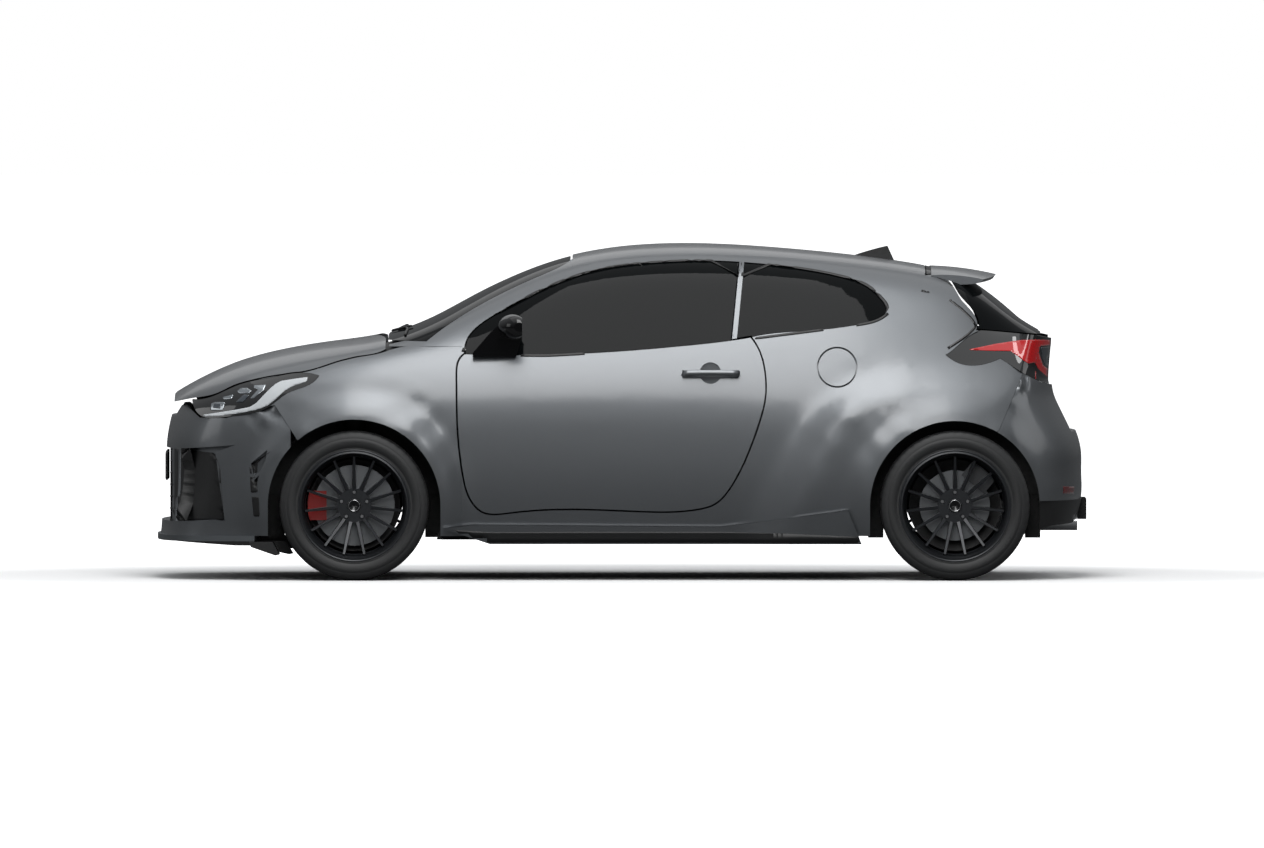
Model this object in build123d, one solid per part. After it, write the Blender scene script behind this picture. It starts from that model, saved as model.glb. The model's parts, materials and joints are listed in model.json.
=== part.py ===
from build123d import *

import math
import os

import numpy as np

# A three-door, wide-arch hot hatchback. Millimetres, +Z up, the nose points to -Y and the car's
# left side is +X. The origin is on the ground, under the middle of the car's length and width.

# ------------------------------------------------------------------ driving dimensions
wheelbase = 2560.0
front_overhang = 846.0
rear_overhang = 578.0
body_width = 1805.0
sill_height = 164.0
belt_height = 1000.0
roof_height = 1429.0

front_track = 1536.0
rear_track = 1565.0
tyre_radius = 318.6
tyre_width = 225.0
rim_radius = 228.6
rim_width = 209.0
wheel_offset = 45.0
spoke_count = 15
spoiler_half = 505.0
lug_count = 5
lug_circle = 57.0

arch_radius_front = 368.0
arch_radius_rear = 362.0
front_flare = 28.0
rear_flare = 12.0
haunch = 38.0

door_gap = 7.0
door_skin = 22.0
door_depth = 92.0
jamb_step = 28.0
jamb_overlap = 15.0
door_inset = 26.0
frame_depth = 70.0
panel_depth = 34.0
lid_gap = 5.0
hood_depth = 30.0
roof_depth = 32.0
tailgate_depth = 46.0
bumper_depth = 44.0
glass_thickness = 5.0
lamp_depth = 60.0
shelf_depth = 118.0
glass_sink = 4.0
glass_gap = 6.0
pillar_width = 20.0
cowl_half = 700.0
weld = 6.0

floor_height = 196.0
floor_thickness = 24.0
kingpin_offset = 66.0
disc_radius_front = 172.0
disc_radius_rear = 150.0
disc_thickness = 26.0
rear_caliper_turn = -130.0
seat_width = 480.0
running_gap = 0.3
fit_gap = 0.4
sill_foot = 0.03
shut_pitch = 0.04
skirt_stand, skirt_seat, skirt_lip = 26.0, 8.0, 11.0

body_length = front_overhang + wheelbase + rear_overhang
nose_y = -body_length / 2
tail_y = body_length / 2
front_axle_y = nose_y + front_overhang
rear_axle_y = tail_y - rear_overhang
half_width = body_width / 2


# ------------------------------------------------------------------ places on the car
def station(t):
    """Y of a place along the car: -1 nose, 0 front axle, 1 rear axle, 2 tail."""
    if t < 0:
        return front_axle_y + t * front_overhang
    if t > 1:
        return rear_axle_y + (t - 1) * rear_overhang
    return front_axle_y + t * wheelbase


def level(h):
    """Z of a height on the car: 0 sill, 1 belt line, 2 top of the roof."""
    if h < 1:
        return sill_height + h * (belt_height - sill_height)
    return belt_height + (h - 1) * (roof_height - belt_height)


def side(*places):
    """Points of the side view from (t, h) pairs, as (y, z)."""
    return [(station(t), level(h)) for t, h in places]


def ease(v):
    v = np.clip(v, 0.0, 1.0)
    return v * v * (3 - 2 * v)


def flow(*knots):
    """A smooth curve of value against t through a few knots, with no overshoot between them."""
    xs, ys = (np.array(c, float) for c in zip(*knots))
    run = np.diff(xs)
    slope = np.diff(ys) / run
    tangent = np.zeros(len(xs))
    tangent[0], tangent[-1] = slope[0], slope[-1]
    for i in range(1, len(xs) - 1):
        if slope[i - 1] * slope[i] > 0:
            a, b = 2 * run[i] + run[i - 1], run[i] + 2 * run[i - 1]
            tangent[i] = (a + b) / (a / slope[i - 1] + b / slope[i])

    def value(x):
        i = int(np.clip(np.searchsorted(xs, x) - 1, 0, len(run) - 1))
        s = (x - xs[i]) / run[i]
        s = min(max(s, 0.0), 1.0)
        return float(
            (1 + 2 * s) * (1 - s) ** 2 * ys[i] + s * (1 - s) ** 2 * run[i] * tangent[i]
            + s * s * (3 - 2 * s) * ys[i + 1] - s * s * (1 - s) * run[i] * tangent[i + 1]
        )

    return value


# ------------------------------------------------------------------ the car's lines
# The skin hangs on nine long lines, from the sill up and over to the centre line. Each gives the
# half width as a share of the car's, and the height as a level, against the station along the car.
control_stations = (
    -1.0, -0.93, -0.86, -0.74, -0.58, -0.36, -0.12, 0.05, 0.13, 0.2, 0.28, 0.36, 0.46,
    0.58, 0.7, 0.82, 0.93, 1.06, 1.25, 1.42, 1.58, 1.7, 1.84,
)
line_widths = (
    flow((-1.0, 0.50), (-0.8, 0.76), (-0.5, 0.87), (0.0, 0.89), (0.5, 0.886), (1.0, 0.89), (1.5, 0.87), (1.84, 0.72)),
    flow((-1.0, 0.51), (-0.8, 0.79), (-0.5, 0.91), (0.0, 0.932), (0.5, 0.927), (1.0, 0.935), (1.5, 0.91), (1.84, 0.75)),
    flow((-1.0, 0.52), (-0.8, 0.80), (-0.5, 0.93), (0.0, 0.957), (0.5, 0.948), (1.0, 0.946), (1.5, 0.915), (1.84, 0.74)),
    flow((-1.0, 0.50), (-0.8, 0.765), (-0.5, 0.905), (0.0, 0.943), (0.5, 0.936), (1.0, 0.915), (1.5, 0.865), (1.84, 0.70)),
    flow((-1.0, 0.46), (-0.8, 0.70), (-0.5, 0.83), (0.0, 0.886), (0.2, 0.888), (0.5, 0.886), (0.8, 0.855), (1.0, 0.815),
         (1.5, 0.745), (1.84, 0.62)),
    flow((-1.0, 0.34), (-0.8, 0.56), (-0.5, 0.68), (0.0, 0.76), (0.15, 0.815), (0.3, 0.80), (0.6, 0.785), (0.9, 0.755),
         (1.2, 0.70), (1.5, 0.645), (1.84, 0.56)),
    flow((-1.0, 0.25), (-0.8, 0.42), (-0.5, 0.50), (0.0, 0.57), (0.15, 0.70), (0.28, 0.675), (0.45, 0.645), (0.7, 0.63),
         (1.0, 0.585), (1.4, 0.545), (1.84, 0.48)),
    flow((-1.0, 0.12), (-0.5, 0.26), (0.0, 0.30), (0.2, 0.37), (0.5, 0.35), (1.0, 0.32), (1.84, 0.27)),
    flow((-1.0, 0.0), (1.84, 0.0)),
)
line_levels = (
    flow((-1.0, sill_foot), (1.84, sill_foot)),
    flow((-1.0, 0.2), (1.84, 0.2)),
    flow((-1.0, 0.48), (0.0, 0.52), (1.0, 0.52), (1.84, 0.5)),
    flow((-1.0, 0.6), (-0.8, 0.66), (-0.5, 0.74), (0.0, 0.80), (0.5, 0.80), (1.0, 0.80), (1.84, 0.76)),
    flow((-1.0, 0.66), (-0.8, 0.74), (-0.5, 0.84), (-0.2, 0.90), (0.05, 0.955), (0.3, 0.985), (0.6, 1.03), (0.85, 1.12),
         (1.0, 1.10), (1.4, 1.03), (1.84, 0.95)),
    flow((-1.0, 0.68), (-0.8, 0.79), (-0.5, 0.90), (-0.2, 0.955), (0.05, 1.01), (0.17, 1.16), (0.3, 1.40), (0.45, 1.49),
         (0.7, 1.50), (0.95, 1.45), (1.2, 1.33), (1.5, 1.14), (1.84, 0.97)),
    flow((-1.0, 0.69), (-0.8, 0.81), (-0.5, 0.93), (-0.2, 0.99), (0.07, 1.06), (0.17, 1.33), (0.25, 1.56), (0.36, 1.83),
         (0.48, 1.945), (0.6, 1.96), (0.75, 1.90), (0.95, 1.76), (1.2, 1.53), (1.5, 1.22), (1.84, 0.99)),
    flow((-1.0, 0.695), (-0.8, 0.82), (-0.5, 0.95), (-0.2, 1.01), (0.07, 1.10), (0.17, 1.41), (0.25, 1.66), (0.36, 1.90),
         (0.48, 1.985), (0.6, 2.0), (0.75, 1.93), (0.95, 1.80), (1.2, 1.57), (1.5, 1.24), (1.84, 1.0)),
    flow((-1.0, 0.70), (-0.914, 0.72), (-0.823, 0.76), (-0.732, 0.82), (-0.626, 0.87), (-0.5, 0.92), (-0.242, 0.982),
         (0.0, 1.04), (0.084, 1.12), (0.171, 1.415), (0.256, 1.67), (0.357, 1.89), (0.413, 1.962), (0.489, 2.003),
         (0.569, 2.01), (0.637, 1.992), (0.709, 1.957), (0.837, 1.885), (0.95, 1.79), (1.2, 1.575), (1.44, 1.32),
         (1.6, 1.12), (1.84, 1.0)),
)


def spline_weights(count, samples):
    """How much each of count control points weighs at each sample (0 to 1) of a clamped cubic spline."""
    knots = np.concatenate([[0] * 3, np.linspace(0, 1, count - 2), [1] * 3])
    s = np.clip(np.asarray(samples, float), 0, 1 - 1e-12)
    weights = ((knots[:-1] <= s[:, None]) & (s[:, None] < knots[1:])).astype(float)
    for degree in range(1, 4):
        for i in range(weights.shape[1] - degree):
            low = knots[i + degree] - knots[i]
            high = knots[i + degree + 1] - knots[i + 1]
            left = (s - knots[i]) / low * weights[:, i] if low > 0 else 0
            right = (knots[i + degree + 1] - s) / high * weights[:, i + 1] if high > 0 else 0
            weights[:, i] = left + right
    return weights[:, :count]


def inset_polygon(points, inset, closed=False):
    """Moves every edge of a polygon to its right-hand side's opposite by the inset."""
    points = np.array(points, float)
    if closed:
        edges = np.roll(points, -1, axis=0) - points
    else:
        edges = np.diff(points, axis=0)
    normals = np.stack([edges[:, 1], -edges[:, 0]], axis=1)
    normals /= np.linalg.norm(normals, axis=1, keepdims=True)
    if closed:
        before, after = np.roll(normals, 1, axis=0), normals
    else:
        before, after = np.vstack([normals[:1], normals]), np.vstack([normals, normals[-1:]])
    mid = before + after
    mid /= np.linalg.norm(mid, axis=1, keepdims=True)
    reach = inset / np.maximum((mid * before).sum(axis=1), 0.5)
    return points - mid * reach[:, None]


def skin_net(inset):
    """Control points (station, line, xyz) of the skin, moved inwards by the inset."""
    net = []
    for t in control_stations:
        section = [(width(t) * half_width, level(height(t))) for width, height in zip(line_widths, line_levels)]
        section = inset_polygon(section, inset)
        section[-1] = (0.0, level(line_levels[-1](t)) - inset)
        net.append([(x, station(t), z) for x, z in section])
    return np.array(net)


def flare(y, z):
    """How far the arches and the rear haunch stand out of the plain side at a place of the side view."""
    front = front_flare * (1 - ease((math.hypot(y - front_axle_y, z - tyre_radius) - arch_radius_front - 16) / 120))
    rear = rear_flare * (1 - ease((math.hypot(y - rear_axle_y, z - tyre_radius) - arch_radius_rear - 16) / 90))
    edge = station(0.675) + 0.53 * (z - level(0.29))
    shelf = level(0.72) + 0.36 * (y - station(0.75)) * (1 - 0.35 * ease((y - station(0.8)) / 600))
    shelf = min(shelf, level(0.87))
    hip = haunch * ease((y - edge) / 235) * ease((shelf + 45 - z) / 165) * (1 - ease((y - station(1.35)) / 330))
    return front + rear + hip


def skin_rows(y_from, y_to, low, high, inset, rows, columns, shaped=True):
    """A grid of points on the skin, between two stations and two shares of the way sill to centre."""
    net = skin_net(inset)
    fine = np.linspace(0, 1, 2001)
    along = spline_weights(len(net), fine) @ net[:, 0, 1]
    u = np.interp(np.linspace(y_from, y_to, rows), along, fine)
    v = np.linspace(low, high, columns)
    grid = np.einsum("ui,ijk,vj->uvk", spline_weights(len(net), u), net, spline_weights(net.shape[1], v))
    if shaped:
        for point in grid.reshape(-1, 3):
            if point[2] < level(1.02):
                point[0] += flare(point[1], point[2])
    return grid


def slab_between(outer, inner):
    """The solid wall between two grids of points, lofted through one closed section for each row."""
    steps = list(np.linspace(0, 1, outer.shape[1]))
    sections = []
    for row, under in zip(outer, inner):
        top = [Vector(*p) for p in row]
        foot = [Vector(*p) for p in under[::-1]]
        sections.append(Wire([
            Edge.make_spline(top, parameters=steps), Edge.make_line(top[-1], foot[0]),
            Edge.make_spline(foot, parameters=steps), Edge.make_line(foot[-1], top[0]),
        ]))
    return Solid.make_loft(sections)


def both_sides(grid):
    """A half-width grid carried over the centre line to the other side."""
    other = grid[:, :-1].copy()[:, ::-1]
    other[:, :, 0] *= -1
    return np.concatenate([grid, other], axis=1)


def skin_slab(y_from, y_to, low, high, outer, inner, rows=26, columns=16, whole=False, shaped=True):
    """A wall that follows the skin between two depths below it."""
    a = skin_rows(y_from, y_to, low, high, outer, rows, columns, shaped)
    b = skin_rows(y_from, y_to, low, high, inner, rows, columns, False)
    if whole:
        a, b = both_sides(a), both_sides(b)
    return slab_between(a, b)


def skin_x(y, z, inset=0.0, shaped=True):
    """Half width of the skin at a place of the side view."""
    rows = skin_rows(y, y + 1e-3, 0.0, 0.75, inset, 2, 160, shaped)[0]
    return float(np.interp(z, rows[:, 2], rows[:, 0]))


def skin_z(x, y, inset=0.0):
    """Height of the skin above a place of the top view."""
    rows = skin_rows(y, y + 1e-3, 0.35, 1.0, inset, 2, 160)[0][::-1]
    return float(np.interp(x, rows[:, 0], rows[:, 2]))


# ------------------------------------------------------------------ outlines and blocks
def polygon(*points):
    """A closed outline of straight runs."""
    points = list(points)
    return [[a, b] for a, b in zip(points, points[1:] + points[:1])]


def shifted(runs, distance):
    """A closed outline moved outwards by a distance, or inwards where it is negative."""
    points = np.array([p for run in runs for p in run[:-1]])
    area = np.sum(points[:, 0] * np.roll(points[:, 1], -1) - points[:, 1] * np.roll(points[:, 0], -1))
    moved = inset_polygon(points, -distance if area > 0 else distance, closed=True)
    out, i = [], 0
    for run in runs:
        out.append([tuple(moved[(i + k) % len(moved)]) for k in range(len(run))])
        i += len(run) - 1
    return out


def outline_face(runs, place):
    edges = []
    for run in runs:
        points = [Vector(*place(*p)) for p in run]
        edges.append(Edge.make_line(*points) if len(points) == 2 else Edge.make_spline(points))
    return Face(Wire(edges))


def side_block(runs, x_from, x_to):
    """A block along X with an outline in the side view."""
    return Solid.extrude(outline_face(runs, lambda y, z: (x_from, y, z)), (x_to - x_from, 0, 0))


def top_block(runs, z_from, z_to):
    """A block along Z with an outline in the top view."""
    return Solid.extrude(outline_face(runs, lambda x, y: (x, y, z_from)), (0, 0, z_to - z_from))


def front_block(runs, y_from, y_to):
    """A block along Y with an outline in the front view."""
    return Solid.extrude(outline_face(runs, lambda x, z: (x, y_from, z)), (0, y_to - y_from, 0))


def box(x, y, z):
    """A block between three pairs of coordinates."""
    return Solid.make_box(
        x[1] - x[0], y[1] - y[0], z[1] - z[0], Plane((x[0], y[0], z[0]))
    )


def disc(centre, axis, radius, length):
    """A round bar that starts at a centre and runs along an axis."""
    return Solid.make_cylinder(radius, length, Plane(centre, z_dir=axis))


def rod(start, end, radius):
    start, end = Vector(*start), Vector(*end)
    return Solid.make_cylinder(radius, (end - start).length, Plane(start, z_dir=end - start))


def spun(points, about_x=True):
    """A ring turned about X, from (x, radius) points."""
    profile = [Vector(x, 0, r) for x, r in points]
    face = Face(Wire.make_polygon(profile, close=True))
    return Solid.revolve(face, 360, Axis.X)


def mirrored(shape):
    return shape.mirror(Plane.YZ)


def shifted_to(shape, x, y, z):
    return shape.moved(Location((x, y, z)))


wide = half_width + 200.0
arch_cut = 500.0


def arch_block(axle_y, radius, x_from=arch_cut):
    """The wheel opening in one side, open at the bottom."""
    reach = radius + 0.0
    hole = disc((x_from, axle_y, tyre_radius), (1, 0, 0), reach, wide - x_from)
    slot = box((x_from, wide), (axle_y - reach, axle_y + reach), (-100.0, tyre_radius))
    return hole.fuse(slot)


# Outlines in the side view.
shelf_level = 1.072
door_outline = [
    side((0.183, 0.964), (0.172, 0.922), (0.169, 0.843), (0.1695, 0.7), (0.172, 0.52), (0.179, 0.349), (0.19, 0.225),
         (0.211, 0.15), (0.26, 0.143), (0.476, 0.15), (0.571, 0.16), (0.602, 0.19), (0.63, 0.285), (0.656, 0.441),
         (0.676, 0.609), (0.6865, 0.747), (0.686, 0.85), (0.676, 0.976), (0.661, 1.095)),
    side((0.661, 1.095), (0.61, 1.05), (0.552, 1.013), (0.468, 0.984), (0.336, 0.962), (0.183, 0.964)),
]
window_outline = [
    side((0.183, 0.964), (0.188, 1.076), (0.213, 1.229), (0.256, 1.382), (0.319, 1.573), (0.374, 1.701),
         (0.426, 1.777), (0.489, 1.821), (0.552, 1.841), (0.641, 1.828), (0.705, 1.794), (0.819, 1.676),
         (0.854, 1.598), (0.875, 1.493), (0.888, 1.358), (0.88, 1.285), (0.854, 1.222), (0.75, 1.142), (0.661, 1.08)),
    side((0.661, 1.08), (0.61, 1.05), (0.552, 1.013), (0.468, 0.984), (0.336, 0.962), (0.183, 0.964)),
]
pillar_foot, pillar_head = (station(0.632), level(1.0)), (station(0.6465), level(1.87))
hood_line = flow((-1.2, 0.66), (-0.98, 0.69), (-0.82, 0.724), (-0.718, 0.744), (-0.587, 0.802), (-0.423, 0.842),
                 (-0.242, 0.869), (-0.074, 0.921), (0.032, 0.953), (0.05, 0.975), (0.066, 0.995), (0.19, 0.997))
lamp_outline = [
    side((-0.82, 0.72), (-0.765, 0.637), (-0.642, 0.637), (-0.466, 0.67), (-0.423, 0.693), (-0.336, 0.757),
         (-0.215, 0.807), (-0.176, 0.847)),
    side((-0.176, 0.847), (-0.202, 0.855), (-0.423, 0.836), (-0.587, 0.797), (-0.718, 0.738), (-0.82, 0.72)),
]
tail_lamp_outline = [
    side((0.985, 0.952), (0.99, 0.939), (1.337, 0.933)),
    side((1.337, 0.933), (1.49, 0.866), (1.645, 0.812), (1.9, 0.812)),
    side((1.9, 0.812), (1.9, shelf_level)),
    side((1.9, shelf_level), (1.6, 1.1), (1.2, 1.15), (1.165, 1.135), (1.05, 1.03), (0.985, 0.952)),
]


def steps_along(t_from, t_to, pitch):
    """Places at whole multiples of a pitch, with the two ends added."""
    inner = np.arange(np.ceil(t_from / pitch + 0.2), np.floor(t_to / pitch - 0.2) + 1) * pitch
    return [t_from, *inner, t_to]


def below(line, drop, t_from, t_to, pitch, floor=-0.3):
    """A closed outline of everything under a line of the car, less a drop."""
    edge = [(station(t), level(line(t)) - drop) for t in steps_along(t_from, t_to, pitch)]
    foot = level(floor)
    return [edge, [edge[-1], (edge[-1][0], foot)], [(edge[-1][0], foot), (edge[0][0], foot)],
            [(edge[0][0], foot), edge[0]]]


def above(line, rise, t_from, t_to, pitch, ceiling=2.4):
    """A closed outline of everything over a line of the car, plus a rise."""
    edge = [(station(t), level(line(t)) + rise) for t in steps_along(t_from, t_to, pitch)]
    top = level(ceiling)
    return [edge, [edge[-1], (edge[-1][0], top)], [(edge[-1][0], top), (edge[0][0], top)],
            [(edge[0][0], top), edge[0]]]


# ------------------------------------------------------------------ nose and tail surfaces
front_profile = flow((0.0, -1.985), (0.1, -1.98), (0.3, -1.962), (0.5, -1.958), (0.58, -1.952), (0.66, -1.93), (0.8, -1.885))
rear_profile = flow((0.0, 1.92), (0.14, 1.955), (0.23, 1.972), (0.32, 1.962), (0.43, 1.97), (0.5, 1.96), (0.65, 1.905),
                    (0.75, 1.868), (0.81, 1.85), (0.93, 1.856), (1.04, 1.864), (1.12, 1.864))


def nose_rows(low, high, inset, rows, columns):
    """A grid on the bumper skin round the nose, between two levels, from the centre line to the side."""
    levels = np.linspace(low, high, 8)
    net = []
    for h in levels:
        z = level(h)
        tip = front_profile(h) * 1000.0 + (station(-1.0) + 1992.0)
        sweep = 28.0 * ease((h - 0.45) / 0.35)
        plan = [(0.0, tip), (0.30 * half_width, tip + 4), (0.60 * half_width, tip + 38 + sweep),
                (0.80 * half_width, tip + 150 + sweep), (skin_x(station(-0.62), z, 0.0, False) - 14, station(-0.68)),
                (skin_x(station(-0.52), z, 0.0, False), station(-0.52)),
                (skin_x(station(-0.42), z, 0.0, False), station(-0.42)),
                (skin_x(station(-0.32), z, 0.0, False), station(-0.32))]
        moved = inset_polygon(plan, inset)
        moved[0] = (0.0, tip + inset)
        net.append([(x, y, z) for x, y in moved])
    net = np.array(net)
    grid = np.einsum("ui,ijk,vj->uvk", spline_weights(len(net), np.linspace(0, 1, rows)), net,
                     spline_weights(net.shape[1], np.linspace(0, 1, columns)))
    if inset == 0:
        for point in grid.reshape(-1, 3):
            point[0] += flare(point[1], point[2]) * ease((point[0] / half_width - 0.5) / 0.35)
    return grid[:, ::-1]


def tail_rows(low, high, inset, rows, columns):
    """A grid on the skin round the tail, between two levels, from the side to the centre line."""
    levels = np.linspace(low, high, 9)
    net = []
    for h in levels:
        z = level(h)
        tip = rear_profile(h) * 1000.0 + (station(2.0) - 1992.0)
        plan = [(skin_x(station(0.95), z, 0.0, False), station(0.95)),
                (skin_x(station(1.13), z, 0.0, False), station(1.13)),
                (skin_x(station(1.3), z, 0.0, False), station(1.3)),
                (skin_x(station(1.45), z, 0.0, False), station(1.48)),
                (0.82 * half_width, tip - 140), (0.64 * half_width, tip - 34),
                (0.3 * half_width, tip - 2), (0.0, tip)]
        moved = inset_polygon(plan, inset)
        moved[-1] = (0.0, tip - inset)
        net.append([(x, y, z) for x, y in moved])
    net = np.array(net)
    grid = np.einsum("ui,ijk,vj->uvk", spline_weights(len(net), np.linspace(0, 1, rows)), net,
                     spline_weights(net.shape[1], np.linspace(0, 1, columns)))
    if inset == 0:
        for point in grid.reshape(-1, 3):
            point[0] += flare(point[1], point[2]) * ease((point[0] / half_width - 0.5) / 0.35)
    return grid


def nose_slab(low, high, outer, inner, rows=14, columns=18):
    return slab_between(both_sides(nose_rows(low, high, outer, rows, columns)),
                        both_sides(nose_rows(low, high, inner, rows, columns)))


def tail_slab(low, high, outer, inner, rows=16, columns=18):
    return slab_between(both_sides(tail_rows(low, high, outer, rows, columns)),
                        both_sides(tail_rows(low, high, inner, rows, columns)))


# ------------------------------------------------------------------ bodywork
nose_region = polygon(*side((-1.4, -0.3), (-0.2, -0.3), (-0.2, 0.4), (-0.29, 0.526), (-0.4, 0.697), (-0.52, 0.668),
                            (-0.642, 0.63), (-0.78, 0.63), (-0.85, 0.69), (-1.4, 0.69)))
tail_region = polygon(*side((2.4, -0.3), (1.1, -0.3), (1.1, 0.4), (1.327, 0.573), (1.509, 0.866), (1.645, 0.806),
                            (2.4, 0.806)))
screen_outline = [
    side((0.056, 1.05), (0.12, 1.04)),
    side((0.12, 1.04), (0.171, 1.262), (0.234, 1.478), (0.298, 1.658), (0.336, 1.757), (0.360, 1.835)),
    side((0.360, 1.835), (0.350, 2.3)),
    side((0.350, 2.3), (0.056, 2.3)),
    side((0.056, 2.3), (0.056, 1.05)),
]
roof_front, roof_rear = station(0.363), station(0.952)
roof_half = flow((roof_front, 0.605), (station(0.6), 0.575), (roof_rear, 0.53))
glass_outline = [
    side((0.954, 2.3), (0.954, 1.70)),
    side((0.954, 1.70), (1.0, 1.60), (1.067, 1.452), (1.145, 1.336), (1.18, 1.231), (1.172, 1.165)),
    side((1.172, 1.165), (1.6, 1.112)),
    side((1.6, 1.112), (1.64, 1.107)),
    side((1.64, 1.107), (1.64, 2.3)),
    side((1.64, 2.3), (0.954, 2.3)),
]
hatch_half_top, hatch_half_foot = 480.0, 430.0
hatch_foot = level(0.56)
hatch_outline = polygon((-hatch_half_top, level(shelf_level)), (-hatch_half_top, level(0.81)), (-hatch_half_foot, hatch_foot),
                        (hatch_half_foot, hatch_foot), (hatch_half_top, level(0.81)),
                        (hatch_half_top, level(shelf_level)))


grille_top, grille_foot = level(0.47), level(0.10)
grille_half_top, grille_half_foot = 410.0, 520.0
grille_opening = polygon((-grille_half_top, grille_top), (-grille_half_foot, grille_foot),
                         (grille_half_foot, grille_foot), (grille_half_top, grille_top))
exhaust_x, exhaust_z, exhaust_radius, exhaust_wall = 330.0, level(0.09), 36.0, 3.0
valance_top = level(0.207)


slot_outline = polygon((-380.0, level(0.7)), (-330.0, level(0.635)), (330.0, level(0.635)), (380.0, level(0.7)))
intake_outline = polygon(*side((-0.95, 0.471), (-0.868, 0.472), (-0.602, 0.493), (-0.7, 0.455), (-0.68, 0.3),
                               (-0.652, 0.106), (-0.95, 0.101)))
intake_from = 560.0
intake_depth = 30.0
curtain_outline = [
    polygon(*side((-0.52, 0.4), (-0.437, 0.47), (-0.45, 0.385), (-0.505, 0.335))),
    polygon(*side((-0.503, 0.315), (-0.452, 0.37), (-0.462, 0.26), (-0.495, 0.215))),
    polygon(*side((-0.493, 0.195), (-0.463, 0.24), (-0.468, 0.13), (-0.485, 0.115))),
]


def tailpipe_holes():
    return [disc((s * exhaust_x, station(1.4), exhaust_z), (0, 1, 0), exhaust_radius + 2 * running_gap, 600.0) for s in (1, -1)]


def make_fender():
    wall = skin_slab(station(-0.5), station(0.2), 0.0, 0.8, 0, panel_depth, rows=24, columns=16)
    wall = wall & side_block(below(hood_line, lid_gap / 2, -0.48, 0.1925, shut_pitch, -0.05), 200, wide)
    wall = wall - side_block(shifted(door_outline, 2 * fit_gap), 200, wide)
    wall = wall - side_block(polygon(*side((0.1795, 1.2), (0.1795, -0.2), (0.3, -0.2), (0.3, 1.2))), 200, wide)
    wall = wall - side_block(shifted(lamp_outline, 2 * fit_gap), 200, wide)
    wall = wall - side_block(shifted(nose_region, 2 * fit_gap), 200, wide)
    return wall - arch_block(front_axle_y, arch_radius_front)


def make_hood():
    wall = skin_slab(station(-0.93), station(0.07), 0.3, 1.0, 0, hood_depth, rows=20, columns=12, whole=True)
    wall = wall & side_block(above(hood_line, lid_gap / 2 + 1.0, -0.912, 0.052, shut_pitch), -wide, wide)
    wall = wall - side_block(shifted(lamp_outline, lid_gap + 1.0), -wide, wide)
    rear = [[(-wide, station(0.056)), (-400.0, station(0.046)), (0.0, station(0.034)), (400.0, station(0.046)),
             (wide, station(0.056))],
            [(wide, station(0.056)), (wide, station(0.3))], [(wide, station(0.3)), (-wide, station(0.3))],
            [(-wide, station(0.3)), (-wide, station(0.056))]]
    return wall - top_block(rear, 600, 1300)


def make_windscreen():
    wall = skin_slab(station(0.04), station(0.37), 0.45, 1.0, glass_sink, glass_sink + glass_thickness,
                     rows=16, columns=12, whole=True)
    return wall & side_block(shifted(screen_outline, -fit_gap), -wide, wide)


def make_cowl():
    """The black tray under the gap between hood and windscreen."""
    wall = skin_slab(station(0.02), station(0.14), 0.5, 1.0, hood_depth + 14, hood_depth + 26, rows=8, columns=12, whole=True)
    keep = box((-cowl_half, cowl_half), (station(0.036), station(0.115)), (600, 1300))
    return wall & keep


def roof_outline(grow):
    ys = np.linspace(roof_front - grow, roof_rear + grow, 7)
    edge = [(roof_half(y) * half_width + grow, y) for y in ys]
    back = [(-x, y) for x, y in edge][::-1]
    return [edge, [edge[-1], back[0]], back, [back[-1], edge[0]]]


def make_roof():
    wall = skin_slab(station(0.34), station(0.98), 0.55, 1.0, 0, roof_depth, rows=18, columns=12, whole=True)
    return wall & top_block(roof_outline(0.0), 1100, 1600)


def window_part(front, margin):
    """The part of the side window outline before or behind the pillar between the panes."""
    (y0, z0), (y1, z1) = pillar_foot, pillar_head
    lean = (y1 - y0) / (z1 - z0)
    foot, head = level(0.6), level(2.2)
    step = -pillar_width / 2 - margin if front else pillar_width / 2 + margin
    edge = [(y0 + lean * (foot - z0) + step, foot), (y0 + lean * (head - z0) + step, head)]
    far = station(-0.1) if front else station(1.2)
    keep = side_block(polygon(edge[0], edge[1], (far, head), (far, foot)), 200, wide)
    return side_block(shifted(window_outline, -margin), 200, wide) & keep


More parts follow.
